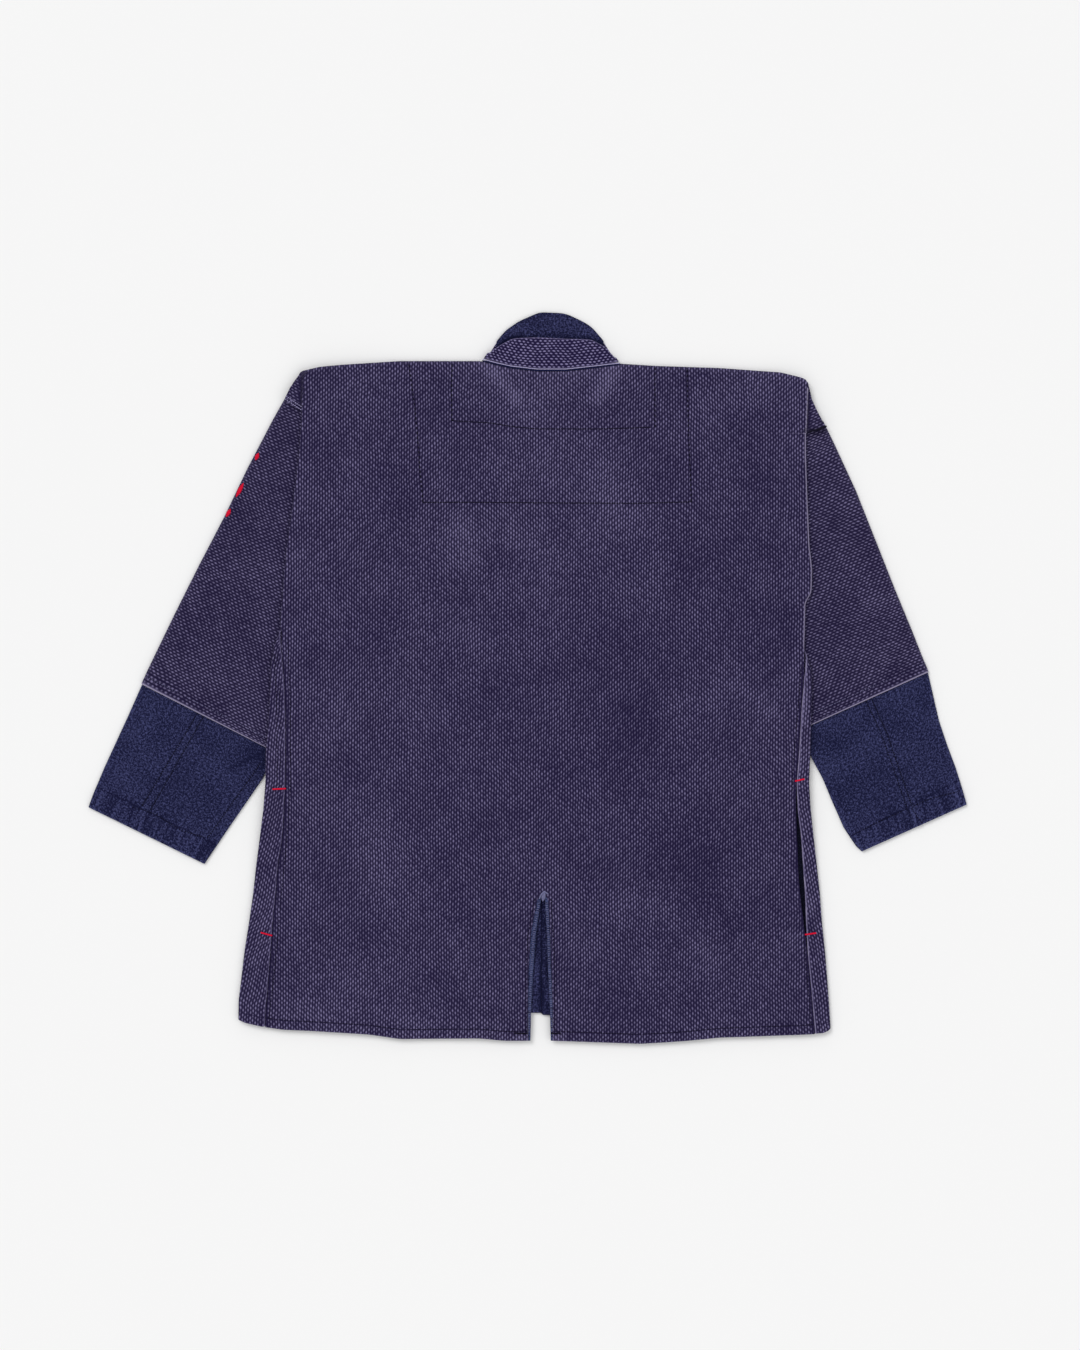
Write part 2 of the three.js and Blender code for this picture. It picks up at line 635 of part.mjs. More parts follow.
// Narrow binding along one side of the vent, set against the panel's cut edge.
function buildBinding(side) {
  const sign = side === 'left' ? 1 : -1;
  const rows = BODY_ROWS.filter((row) => row > VENT_TOP_ROW);
  const grid = rows.map((row) => {
    const bent = bentRow(row, VENT_COLUMN, HEM_LINE, TOP_LINE);
    const inColumn = lookUp(VENT, 'row', bent, `${side}In`);
    const from = toX(lookUp(VENT, 'row', bent, side)) + sign * SEAM_GAP;
    const to = toX(inColumn);
    const y = toY(bent);
    const level = backLevelAt(from, y);
    return [from, mix(from, to, 0.5), to].map((x) => [x, y, level]);
  });
  return sheetFromGrid(`vent_binding_${side}`, grid, BINDING_CLOTH, 0x33395c, side === 'right');
}

// Collar ring: front half on the resting plane, ends turned up, back half over it.
function collarColumn(low, high, lowLevel, highLevel) {
  return COLLAR_HEIGHT_STEPS.map((share) => [
    toX(mix(low[0], high[0], share)),
    toY(mix(low[1], high[1], share)),
    mix(lowLevel, highLevel, smooth(share)),
  ]);
}

function buildCollarBand() {
  const columns = [];
  const leftFront = COLLAR_FRONT.slice(0, 5).reverse();
  const rightFront = COLLAR_FRONT.slice(5).reverse();
  const inset = BODY_CLOTH * COLLAR_FRONT_INSET / SQUARE;
  const frontColumn = (entry) => collarColumn(
    entry.low, [entry.high[0], entry.high[1] + inset], COLLAR_FRONT_LEVEL, COLLAR_FRONT_LEVEL);
  const turn = (entry, side, degrees) => {
    const angle = THREE.MathUtils.degToRad(degrees);
    const share = (1 - Math.cos(angle)) / 2;
    const out = side * COLLAR_TURN_RADIUS * Math.sin(angle) / SQUARE;
    const level = mix(COLLAR_FRONT_LEVEL, COLLAR_BACK_LEVEL, share);
    return collarColumn(
      [entry.low[0] + out, entry.low[1]],
      [entry.high[0] + out, entry.high[1] + inset * (1 - share)],
      level, level + entry.rise * share);
  };
  leftFront.forEach((entry) => columns.push(frontColumn(entry)));
  COLLAR_TURN_ANGLES.forEach((angle) => columns.push(turn(COLLAR_BACK[0], -1, angle)));
  COLLAR_BACK.forEach((entry) => columns.push(collarColumn(
    entry.low, entry.high, COLLAR_BACK_LEVEL, COLLAR_BACK_LEVEL + entry.rise)));
  const lastBack = COLLAR_BACK[COLLAR_BACK.length - 1];
  COLLAR_TURN_ANGLES.toReversed().forEach((angle) => columns.push(turn(lastBack, 1, angle)));
  rightFront.forEach((entry) => columns.push(frontColumn(entry)));
  return sheetFromGrid('collar_band', columns, BODY_CLOTH, 0x413c56, false);
}

// Navy facing on the inside of the collar's front half.
function buildCollarFacing() {
  const level = COLLAR_FRONT_LEVEL + BODY_CLOTH / 2 + SEAM_GAP + FACING_CLOTH / 2;
  const columns = COLLAR_FRONT.slice(1, -1).map((entry) => collarColumn(entry.low, entry.high, level, level));
  return sheetFromGrid('collar_facing', columns, FACING_CLOTH, 0x262b4b, true);
}

const jacket = new THREE.Group();
const leftFront = frontGrid('left');
const rightFront = frontGrid('right');
jacket.add(buildBack());
jacket.add(sheetFromGrid('front_left', leftFront, BODY_CLOTH, 0x3c3754, false));
jacket.add(sheetFromGrid('front_right', rightFront, BODY_CLOTH, 0x3c3754, true));
jacket.add(buildFacing('left', leftFront));
jacket.add(buildFacing('right', rightFront));
jacket.add(buildPocket('left', leftFront));
jacket.add(buildPocket('right', rightFront));
jacket.add(buildTube('sleeve_left', SLEEVE_LEFT, SLEEVE_LOW, SLEEVE_HIGH, SLEEVE_CLOTH, SLEEVE_RIDGES, 0x39344f, true));
jacket.add(buildTube('sleeve_right', SLEEVE_RIGHT, SLEEVE_LOW, SLEEVE_HIGH, SLEEVE_CLOTH, SLEEVE_RIDGES, 0x39344f, false));
jacket.add(buildTube('cuff_left', CUFF_LEFT, CUFF_LOW, CUFF_HIGH, DENIM, [], 0x292a49, true));
jacket.add(buildTube('cuff_right', CUFF_RIGHT, CUFF_LOW, CUFF_HIGH, DENIM, [], 0x292a49, false));
jacket.add(buildBinding('left'));
jacket.add(buildBinding('right'));
jacket.add(buildCollarBand());
jacket.add(buildCollarFacing());

export default jacket;
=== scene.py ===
"""Stand-collar jacket laid flat with its back up, as an add-on that builds each piece of cloth."""
import math

import bpy
import numpy as np
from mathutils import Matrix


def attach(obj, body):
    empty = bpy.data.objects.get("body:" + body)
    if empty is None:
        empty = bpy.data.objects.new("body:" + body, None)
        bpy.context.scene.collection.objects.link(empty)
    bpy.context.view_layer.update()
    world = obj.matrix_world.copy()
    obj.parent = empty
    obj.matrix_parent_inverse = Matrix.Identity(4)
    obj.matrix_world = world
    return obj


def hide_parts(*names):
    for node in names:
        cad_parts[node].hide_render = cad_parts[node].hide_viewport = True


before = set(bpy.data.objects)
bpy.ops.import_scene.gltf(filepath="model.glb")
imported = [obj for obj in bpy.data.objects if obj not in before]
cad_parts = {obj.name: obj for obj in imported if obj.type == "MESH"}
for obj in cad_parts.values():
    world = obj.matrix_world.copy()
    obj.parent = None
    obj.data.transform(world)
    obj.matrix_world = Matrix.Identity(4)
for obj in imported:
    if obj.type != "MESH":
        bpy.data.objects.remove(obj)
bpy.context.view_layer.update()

bl_info = {
    "name": "Stand-collar jacket",
    "version": (1, 0, 0),
    "blender": (4, 5, 0),
    "location": "3D View > Sidebar > Jacket",
    "description": "Builds a stand-collar jacket laid flat, with its weave, seams and stitches",
    "category": "Object",
}

MILLIMETRE = 0.001
SQUARE = 1.14
CENTRE_COLUMN = 528
CENTRE_ROW = 677.25

# Cloth thicknesses and layer heights, in millimetres.
BODY_CLOTH = 2.0
SLEEVE_CLOTH = 1.8
DENIM_CLOTH = 1.2
FACING_CLOTH = 0.8
POCKET_CLOTH = 0.5
BINDING_CLOTH = 2.2
SEAM_GAP = 0.35
SEAM_GAP_ON_FOLD = 2.2
FOLD_GAP_REACH = 7
FRONT_LEVEL = 1.0
BACK_ABOVE_FRONT = 4.4
FOLD_RADIUS = BACK_ABOVE_FRONT / 2
FOLD_QUARTER = FOLD_RADIUS * math.pi / 2
SLEEVE_LOW = 0.9
SLEEVE_HIGH = 3.4
CUFF_LOW = 0.6
CUFF_HIGH = 2.4
LIFT_OVER_SLEEVE = 4.8
SLEEVE_LIFT = (34, 92)
CUFF_LIFT = (16, 62)

HEM_ROW = 1040
HEM_FADE_ROW = 900
TOP_ROW = 372
TOP_FADE_ROW = 430
EDGE_ROLL = 1.7
HEM_DEPTH = 10.5
SLEEVE_HEM_DEPTH = 11
DENIM_HEM_DEPTH = 25
HEM_STEP = 0.35
HEM_STITCH_INSET = 9.5
FAR = 99.0
FRONT_EDGE_COLUMN = 541.5
FRONT_EDGE_GAP = 0.06
VENT_COLUMN = 544
VENT_TOP_ROW = 894
NOTCH_ROW = 446
NOTCH_SPACING = 1.4

# Least and full width of the strips beside an outer fold, in millimetres.
LEAST_STRIP = 4
BACK_STRIP = 34
FRONT_STRIP = 26

# Rows where the side seam comes round to the back, and where the shoulder cap's crease starts.
SEAM_ROW = 650
CAP_TOP_ROW = 380

# Pocket bags: end rows, how far inside the outer fold they start, and how far they reach from there
# in millimetres.
POCKET_ROWS = (976, 762)
POCKET_FROM_FOLD = 11
POCKET_REACH = 148

# Front facings: upper row, and how far inside the outer fold the line lies that their widths are
# taken from, in millimetres.
FACING_TOP_ROW = 405
FACING_START = 25

# Half a grain's width and length as shares of a column and a repeat, and how far both stray.
GRAIN_WIDTH = 0.42
GRAIN_LENGTH = 0.37
COLUMN_STRAY = 3.6
ROW_STRAY = 4.2

SIDES = ("left", "right")
OUTWARD = {"left": -1, "right": 1}


class Table:
    """Short table with named columns, read between its rows."""

    def __init__(self, names, rows):
        self.columns = {name: np.array(values, float) for name, values in zip(names, zip(*rows))}

    def read(self, key, at, name):
        keys = self.columns[key]
        order = np.argsort(keys, kind="stable")
        return np.interp(at, keys[order], self.columns[name][order])


# Outer folds of the body and the side seam's distance from each fold, below zero underneath.
BODY_SIDES = Table(("row", "left", "left_seam", "right", "right_seam", "right_gape"), (
    (1040, 238, 26, 831.5, 15.5, 0),
    (1000, 238.5, 28, 829, 17, 0),
    (950, 244.5, 26.5, 825, 18, 0),
    (922, 249, 24, 822, 16.5, 2),
    (894, 253, 23, 820, 15.5, 4.5),
    (866, 256, 22, 817, 14.5, 4.5),
    (836, 260, 23, 813.5, 13, 3.5),
    (808, 263.5, 21, 810.5, 13.5, 1.2),
    (782, 265.5, 20.5, 809, 13, 0),
    (750, 266, 20, 810.5, 12, 0),
    (714, 269, 17, 811, 10.5, 0),
    (690, 270, 15.2, 812.2, 10, 0),
    (671, 270.5, 13.5, 811.5, 7.5, 0),
    (660, 272, 11, 808.5, 4, 0),
    (650, 273.4, 8.9, 805, 0.5, 0),
    (646, 274, 8, 804.3, -1, 0),
    (632, 279.5, 2, 804.8, -5, 0),
    (603, 281.9, -8, 805.5, -12, 0),
    (592, 282.8, -11, 811.6, -14, 0),
    (570, 284.5, -18, 812.3, -18, 0),
    (545, 287, -20, 809.5, -20, 0),
    (510, 292, -20, 808, -20, 0),
    (456, 299, -18, 806, -18, 0),
    (432, 300.5, -14, 806, -12, 0),
    (428, 301, -12, 826, -12, 0),
    (412, 302, -10, 817.5, -10, 0),
    (400, 284.2, -9, 811.9, -9, 0),
    (382, 293, -8, 808, -8, 0),
    (372, 301, -7, 807, -7, 0),
))
HEM_LINE = Table(("column", "row"), (
    (238, 1019), (264, 1027), (283, 1029.7), (313, 1031), (345, 1033), (370, 1034.6), (400, 1039),
    (480, 1038.4),
    (505, 1040.8), (551, 1040.6), (640, 1043.8), (668, 1042.2), (685, 1041), (720, 1037.6), (800, 1034.8),
    (815, 1034), (823, 1033.2), (828, 1031), (831, 1027.5),
))
FRONT_HEM_LINE = Table(("column", "row"), (
    (238, 1019.5), (245, 1022.8), (262, 1026.6), (280, 1025), (400, 1020), (520, 1013), (541, 1013),
    (543, 1015),
    (600, 1018), (760, 1030), (815, 1033.6), (823, 1033), (828, 1031), (831, 1027.5),
))
LEFT_SHOULDER = ((293, 378), (303, 371), (320, 367), (340, 365), (400, 361))
RIGHT_SHOULDER = ((660, 366), (720, 368), (780, 372.4), (801, 377.6), (805, 379.5), (808, 384))
TOP_LINE = Table(("column", "row"), (
    *LEFT_SHOULDER, (480, 361), (484, 362), (511, 367.8), (537, 370.8), (566, 370.8), (594, 367.8),
    (619, 364.5), *RIGHT_SHOULDER,
))
FRONT_TOP_LINE = Table(("column", "row"), (
    *LEFT_SHOULDER, (483, 361.5), (511, 357.5), (541, 356), (571, 357.5), (619, 363.5), *RIGHT_SHOULDER,
))
VENT = Table(("row", "left", "left_in", "right", "right_in"), (
    (1045, 528, 530.4, 552.5, 551),
    (1009, 528, 531.5, 553, 549.5),
    (970, 528.5, 534, 551.3, 547.6),
    (933, 530.8, 537, 550.3, 546.3),
    (900, 537, 541.5, 548.5, 544.6),
    (896.5, 541, 542.6, 546, 543.9),
    (894, 544, 542.9, 544, 543.3),
    (360, 544, 542.9, 544, 543.3),
))

# Sleeves and lower sleeves: outer and inner folds at each station.
STATION = ("outer_column", "outer_row", "inner_column", "inner_row")
SLEEVES = {
    "left": Table(STATION, (
        (288.8, 391, 459, 480), (272, 421, 438, 512), (247, 469, 405, 556), (224, 517, 373, 603),
        (199, 565, 340, 650), (175, 613, 309, 695), (152, 660.5, 281, 737), (147, 671, 275, 745),
        (141, 684, 271, 750),
    )),
    "right": Table(STATION, (
        (823.4, 421, 651, 499), (835, 445, 668, 531), (856.2, 491, 692, 570), (876, 541, 717, 611),
        (895, 589, 744, 652), (911.5, 629, 770, 693), (923, 658, 789, 722), (926, 665, 793, 728),
        (929, 672, 796, 732),
    )),
}
CUFFS = {
    "left": Table(STATION, (
        (141.7, 684.8, 269.5, 749.6), (135, 700, 269, 765), (127, 718, 262.4, 779), (115, 744, 245.2, 804),
        (104, 768, 228.6, 828), (93, 794, 212.4, 852), (88.2, 807.2, 204.4, 864),
    )),
    "right": Table(STATION, (
        (928.2, 672.7, 797.5, 731.7), (939, 720, 823, 779), (947, 744, 833, 803),
        (956, 768, 844, 828), (963.5, 792, 856, 846), (967, 804.5, 862, 851.5),
    )),
}
SLEEVE_GROUND = (
    ((286, 388), (460, 478), (272, 752), (140, 684)),
    ((652, 496), (826, 418), (930, 673), (795, 734)),
)
CUFF_GROUND = (
    ((141, 684), (270, 750), (206, 864), (88, 804)),
    ((797, 731), (930, 673), (968, 806), (862, 853)),
)

# Soft ridges and faded streaks, each from one draft point to another.
STREAK = ("column", "row", "to_column", "to_row", "amount", "width")
BACK_RIDGES = Table(STREAK, (
    (303, 378, 303, 409, 1.2, 9),
    (803, 392, 804, 430, 1.2, 9),
    (330, 620, 430, 560, 1.2, 22),
    (780, 640, 690, 570, 1.1, 22),
    (470, 400, 400, 520, 0.9, 26),
    (630, 400, 690, 520, 0.9, 26),
    (300, 760, 320, 940, 1.0, 20),
    (760, 780, 745, 930, 1.2, 20),
    (470, 880, 480, 1020, 0.9, 22),
    (610, 860, 620, 1010, 1.0, 24),
    (488, 372, 528, 412, 1.0, 7),
    (612, 372, 592, 402, 0.9, 7),
    (284, 640, 330, 610, 0.8, 9),
    (806, 600, 770, 622, 1.0, 9),
))
SLEEVE_RIDGES = Table(STREAK, (
    (218, 540, 246, 572, 1.2, 11),
    (185, 620, 236, 652, 1.1, 11),
    (200, 590, 262, 618, 0.7, 8),
    (872, 545, 848, 568, 1.2, 11),
    (905, 620, 852, 650, 1.1, 11),
    (880, 585, 836, 612, 0.7, 8),
))
BACK_FADES = Table(STREAK, (
    (484, 362, 516, 398, 1.7, 9),
    (614, 366, 598, 398, 1.7, 9),
    (500, 372, 600, 372, 0.4, 9),
    (545, 392, 552, 470, 0.5, 30),
    (600, 470, 616, 500, 0.45, 20),
    (462, 530, 468, 556, 0.6, 16),
    (505, 505, 516, 545, 0.4, 18),
    (545, 560, 552, 600, 0.45, 20),
    (645, 520, 655, 560, 0.4, 20),
    (700, 390, 745, 385, 0.3, 16),
    (360, 400, 370, 470, 0.25, 30),
    (306, 690, 330, 720, 0.35, 18),
    (420, 700, 440, 720, 0.4, 22),
    (738, 690, 780, 705, 0.25, 18),
    (430, 535, 590, 530, 0.22, 34),
    (770, 395, 790, 395, 0.3, 20),
    (304, 876, 312, 904, 0.3, 20),
    (800, 600, 800, 800, 0.25, 20),
    (480, 660, 520, 690, -0.2, 26),
    (570, 835, 600, 860, -0.2, 30),
    (366, 850, 380, 870, 0.35, 24),
    (630, 905, 660, 915, 0.4, 24),
    (698, 935, 706, 960, 0.5, 20),
    (590, 760, 640, 800, 0.2, 34),
    (391, 480, 400, 500, -0.4, 34),
    (743, 430, 752, 470, -0.4, 30),
    (310, 660, 316, 676, -0.3, 16),
    (788, 615, 790, 640, -0.45, 14),
    (620, 640, 640, 720, -0.25, 40),
    (450, 780, 470, 860, -0.2, 46),
    (600, 980, 640, 1000, -0.2, 30),
    (545, 660, 550, 800, -0.15, 36),
    (610, 730, 690, 860, -0.5, 62),
    (700, 560, 770, 640, -0.25, 50),
    (700, 880, 700, 1000, -0.3, 50),
    (517, 1037.5, 525, 1037.5, 1.8, 3.5),
    (554, 1037.5, 561, 1037.5, 1.8, 3.5),
    (400, 1028, 500, 1031, 0.35, 8),
    (300, 1010, 380, 1018, 0.25, 16),
))

STRIP_FADES = Table(STREAK, (
    (807, 655, 806, 720, 1.9, 6.5),
    (804, 750, 806, 900, 0.5, 9),
    (272, 700, 272, 780, 0.4, 9),
))

# Collar, low at the neck seam and high at the upper edge.
COLLAR_BACK = Table(("low_column", "low_row", "high_column", "high_row", "rise"), (
    (484.5, 358.5, 488.5, 353.5, 2.0),
    (497, 362, 500, 345.5, 2.6),
    (511, 365.5, 513, 338.5, 2.4),
    (537, 368.5, 538, 337.5, 1.6),
    (566, 368.5, 565, 339, 1.4),
    (594, 365.5, 591, 339.5, 1.4),
    (608, 363.8, 605, 347, 1.4),
    (618, 362, 615.5, 358.5, 1.2),
))
COLLAR_FRONT = Table(("low_column", "low_row", "high_column", "high_row"), (
    (484.5, 359, 489, 353),
    (494, 357.5, 496.5, 341),
    (505, 356, 506, 330),
    (519, 355, 519, 321),
    (540, 354, 538, 312.8),
    (543, 354, 544, 312.2),
    (566, 355, 566, 313.2),
    (588, 357.5, 590, 325),
    (603, 360, 604, 341),
    (617.5, 362, 614, 357.5),
))
COLLAR_BACK_LEVEL = 5.4
COLLAR_COLUMN = 551
NECK_LINE = (
    (483, 359.3), (497, 363), (511, 366.1), (537, 369.1), (566, 369.1), (594, 366.1), (619, 363.2))
# Painted shade in the hollow between the collar band and the facing, each streak from one draft point to
# another.
COLLAR_SHADE = Table(STREAK, (
    (492, 352, 508, 340, 1.0, 2.6),
    (508, 340, 521, 336, 1.0, 2.2),
    (521, 336, 585, 337, 0.35, 2.0),
    (585, 338, 606, 345, 0.6, 2.2),
))


def to_x(column):
    return (np.asarray(column, float) - CENTRE_COLUMN) * SQUARE


def to_y(row):
    return (CENTRE_ROW - np.asarray(row, float)) * SQUARE


def to_column(x):
    return np.asarray(x, float) / SQUARE + CENTRE_COLUMN


def to_row(y):
    return CENTRE_ROW - np.asarray(y, float) / SQUARE


def smooth(value):
    share = np.clip(value, 0, 1)
    return share * share * (3 - 2 * share)


def mix(first, second, share):
    return first + (second - first) * share


def bell(value, width):
    """One at zero, falling off softly over the given width."""
    return np.exp(-((value / width) ** 2))


def run_along(points):
    """Distance along a row of points from its first one."""
    steps = np.linalg.norm(np.diff(points, axis=0), axis=1)
    return np.concatenate(((0,), np.cumsum(steps)))


def soft_noise(x, y, size, seed):
    """Smooth noise from -1 to 1 with bumps of about the given size."""
    lattice = np.random.default_rng(seed).uniform(-1, 1, (64, 64))
    across = np.asarray(x, float) / size + 200
    along = np.asarray(y, float) / size + 200
    column = np.floor(across).astype(int)
    row = np.floor(along).astype(int)
    part_x = smooth(across - column)
    part_y = smooth(along - row)
    near = mix(lattice[column % 64, row % 64], lattice[(column + 1) % 64, row % 64], part_x)
    far = mix(lattice[column % 64, (row + 1) % 64], lattice[(column + 1) % 64, (row + 1) % 64], part_x)
    return mix(near, far, part_y)


def distance_outside(corners, x, y):
    """Distance outside a convex patch in millimetres, zero or less inside it."""
    points = np.array([(to_x(column), to_y(row)) for column, row in corners])
    middle = points.mean(axis=0)
    farthest = np.full(np.shape(x), -np.inf)
    for point, following in zip(points, np.roll(points, -1, axis=0)):
        edge = following - point
        normal = np.array((edge[1], -edge[0])) / np.linalg.norm(edge)
        if np.dot(middle - point, normal) > 0:
            normal = -normal
        farthest = np.maximum(farthest, (x - point[0]) * normal[0] + (y - point[1]) * normal[1])
    return farthest


def lift_at(x, y):
    """How far the body is held up by the sleeves below it."""
    lift = np.zeros(np.shape(x))
    for grounds, (full, end) in ((SLEEVE_GROUND, SLEEVE_LIFT), (CUFF_GROUND, CUFF_LIFT)):
        for ground in grounds:
            away = distance_outside(ground, x, y)
            lift = np.maximum(lift, LIFT_OVER_SLEEVE * (1 - smooth((away - full) / (end - full))))
    return lift


def streak_gaps(table, x, y, overrun=0.0):
    """Distance from each streak of a table, with the streak's amount and width."""
    for column, row, end_column, end_row, amount, width in zip(*table.columns.values()):
        start = (to_x(column), to_y(row))
        run = (to_x(end_column) - start[0], to_y(end_row) - start[1])
        square = run[0] ** 2 + run[1] ** 2
        along = ((x - start[0]) * run[0] + (y - start[1]) * run[1]) / square
        along = np.clip(along, -overrun, 1 + overrun)
        yield np.hypot(x - start[0] - run[0] * along, y - start[1] - run[1] * along), amount, width


def streaks_at(table, x, y, add=False):
    """Height or fade of a table of soft streaks."""
    total = np.zeros(np.shape(x))
    for gap, amount, width in streak_gaps(table, x, y):
        height = amount * bell(gap, width)
        total = total + height if add else np.maximum(total, height)
    return total


def front_level(x, y):
    return FRONT_LEVEL + lift_at(x, y)


def back_relief(x, y):
    waves = 0.32 * soft_noise(x, y, size=46, seed=3) + 0.16 * soft_noise(x, y, size=17, seed=5)
    return streaks_at(BACK_RIDGES, x, y) + 0.3 + waves


def back_level(x, y):
    return front_level(x, y) + BACK_ABOVE_FRONT + back_relief(x, y)


def side_column(side, row):
    """Column of an outer fold, slightly rounded between the table's rows."""
    offsets = (-1, 0, 1)
    return sum(BODY_SIDES.read("row", row + offset, side) for offset in offsets) / len(offsets)


def seam_distance(side, row):
    """Distance along the cloth from the outer fold to the side seam."""
    offsets = (-6, 0, 6)
    name = f"{side}_seam"
    return sum(BODY_SIDES.read("row", row + offset, name) for offset in offsets) / len(offsets) * SQUARE


def seam_gap(distance):
    return mix(SEAM_GAP, SEAM_GAP_ON_FOLD, bell(distance, FOLD_GAP_REACH))


def bent_row(row, column, hem_line, top_line):
    """Row after the hem and shoulder lines have bent it."""
    hem_share = smooth((row - HEM_FADE_ROW) / (HEM_ROW - HEM_FADE_ROW))
    top_share = smooth((TOP_FADE_ROW - row) / (TOP_FADE_ROW - TOP_ROW))
    hem_shift = hem_line.read("column", column, "row") - HEM_ROW
    top_shift = top_line.read("column", column, "row") - TOP_ROW
    return row + hem_shift * hem_share + top_shift * top_share


class BodyRows:
    """Rows of the body from the hem to the rolled shoulder edge."""

    def __init__(self, spacing):
        near_hem = HEM_ROW - np.array((0, 0.35, 1.0, 2.2, 4.0))
        plain = np.arange(HEM_ROW - 7, NOTCH_ROW, -spacing)
        notch = np.arange(NOTCH_ROW - 2, TOP_ROW + 5, -min(spacing, NOTCH_SPACING))
        self.rows = np.concatenate((near_hem, plain, notch))
        self.angles = np.radians(np.array((0, 18, 36, 54, 72, 90)))
        self.nominal = np.concatenate((self.rows, np.full(len(self.angles), TOP_ROW)))

    def place(self, columns, hem_line, top_line):
        """Rows and drops for an array of columns, one column or one set of columns a row."""
        columns = np.asarray(columns, float)
        body = bent_row(self.rows[:, None], columns[:len(self.rows)], hem_line, top_line)
        edge = bent_row(TOP_ROW + 0 * self.angles[:, None], columns[len(self.rows):], hem_line, top_line)
        inset = BODY_CLOTH / 2 + EDGE_ROLL * (1 - np.sin(self.angles[:, None]))
        rolled = edge + inset / SQUARE
        drop = EDGE_ROLL * (1 - np.cos(self.angles[:, None])) + 0 * rolled
        return np.concatenate((body, rolled)), np.concatenate((0 * body, drop))


def folded_points(side, rows, distances):
    """Points of the folded cloth at distances from the outer fold, over it or under it."""
    inward = -OUTWARD[side]
    edge = to_x(side_column(side, rows)) + inward * BODY_CLOTH / 2
    y = to_y(rows) + 0 * distances
    low = front_level(edge, to_y(rows))
    angle = np.clip(distances / FOLD_RADIUS, -math.pi / 2, math.pi / 2)
    past = np.maximum(np.abs(distances) - FOLD_QUARTER, 0)
    x = edge + inward * (FOLD_RADIUS * (1 - np.cos(angle)) + past)
    over = distances > 0
    change = np.where(over, back_level(x, y) - low - BACK_ABOVE_FRONT, front_level(x, y) - low)
    z = low + FOLD_RADIUS + FOLD_RADIUS * np.sin(angle) + change * smooth(past / 9)
    points = np.stack((x, y, z), axis=-1)
    flat_x = edge + inward * (FOLD_RADIUS + distances - FOLD_QUARTER)
    return points, np.stack((flat_x, y), axis=-1)


def spread(start, end, count):
    """Distances from start to end, closer together round the fold and at the start."""
    shares = np.linspace(0, 1, 400)
    tried = mix(start[:, None], end[:, None], shares)
    density = 1 + 5 * bell(tried, 3.2) + 6 * bell(tried - start[:, None], 1.6)
    total = np.cumsum(density, axis=1)
    total = (total - total[:, :1]) / (total[:, -1:] - total[:, :1])
    wanted = np.linspace(0, 1, count)
    return np.array([np.interp(wanted, total[i], tried[i]) for i in range(len(start))])


def rim_thickness(depth, full):
    """Thickness near an edge, so that each cut edge is rounded."""
    return full * (0.45 + 0.55 * np.sqrt(np.clip(depth / (full * 0.5), 0, 1)))


def surface_normals(points, faces):
    across = points[faces[:, 2]] - points[faces[:, 0]]
    other = points[faces[:, 3]] - points[faces[:, 1]]
    normal = np.cross(across, other)
    normal /= np.maximum(np.linalg.norm(normal, axis=1, keepdims=True), 1e-9)
    total = np.zeros_like(points)
    for corner in range(4):
        np.add.at(total, faces[:, corner], normal)
    return total / np.maximum(np.linalg.norm(total, axis=1, keepdims=True), 1e-9)


def grid_faces(rows, columns, closed=False):
    """Four-sided faces between neighbouring rows and columns of a grid."""
    last = columns if closed else columns - 1
    row, column = np.meshgrid(np.arange(rows - 1), np.arange(last), indexing="ij")
    following = (column + 1) % columns
    corners = (row * columns + column, row * columns + following,
               (row + 1) * columns + following, (row + 1) * columns + column)
    return np.stack([corner.ravel() for corner in corners], axis=1)


class Cloth:
    """Middle surface of one piece with its cloth coordinates, thickness and marks for its material."""

    def __init__(self, points, flat, thickness, faces, **marks):
        self.points = points.reshape(-1, 3)
        self.flat = flat.reshape(-1, 2)
        self.faces = faces
        self.thickness = np.broadcast_to(thickness, points.shape[:-1]).reshape(-1)
        found = {"fade": 0.0, "wear": 0.0, "edge": FAR, "seam": FAR, "crease": FAR, "run": 0.0, **marks}
        self.marks = {name: np.broadcast_to(values, points.shape[:-1]).reshape(-1)
                      for name, values in found.items()}

    def solid(self, name, material):
        """Closed solid of the cloth's own thickness as a Blender object."""
        normals = surface_normals(self.points, self.faces)
        half = normals * (self.thickness / 2)[:, None]
        count = len(self.points)
        vertices = np.concatenate((self.points + half, self.points - half))
        starts = self.faces.ravel()
        ends = np.roll(self.faces, -1, axis=1).ravel()
        free = ~np.isin(starts * count + ends, ends * count + starts)
        first, second = starts[free], ends[free]
        rims = np.stack((first, first + count, second + count, second), axis=1)
        faces = np.concatenate((self.faces, self.faces[:, ::-1] + count, rims))
        if signed_volume(vertices, faces) < 0:
            faces = faces[:, ::-1]
        mesh = bpy.data.meshes.new(name)
        mesh.from_pydata((vertices * MILLIMETRE).tolist(), [], faces.tolist())
        mesh.validate()
        corners = np.empty(len(mesh.loops), int)
        mesh.loops.foreach_get("vertex_index", corners)
        flat = np.concatenate((self.flat, self.flat))
        layer = mesh.uv_layers.new(name="cloth")
        layer.data.foreach_set("uv", flat[corners].ravel())
        for label, values in self.marks.items():
            attribute = mesh.attributes.new(label, "FLOAT", "POINT")
            attribute.data.foreach_set("value", np.concatenate((values, values)))
        mesh.polygons.foreach_set("use_smooth", np.ones(len(mesh.polygons), bool))
        mesh.materials.append(material)
        piece = bpy.data.objects.new(name, mesh)
        bpy.context.collection.objects.link(piece)
        return piece


def signed_volume(vertices, faces):
    a, b, c, d = (vertices[faces[:, corner]] for corner in range(4))
    return float(np.sum(a * np.cross(b, c)) + np.sum(a * np.cross(c, d))) / 6


def quick_step(value):
    return value


def quick_count(settings, width):
    """Number of points across a width in millimetres."""
    return int(width / (settings.grid_step / MILLIMETRE * 1.12) / (1))


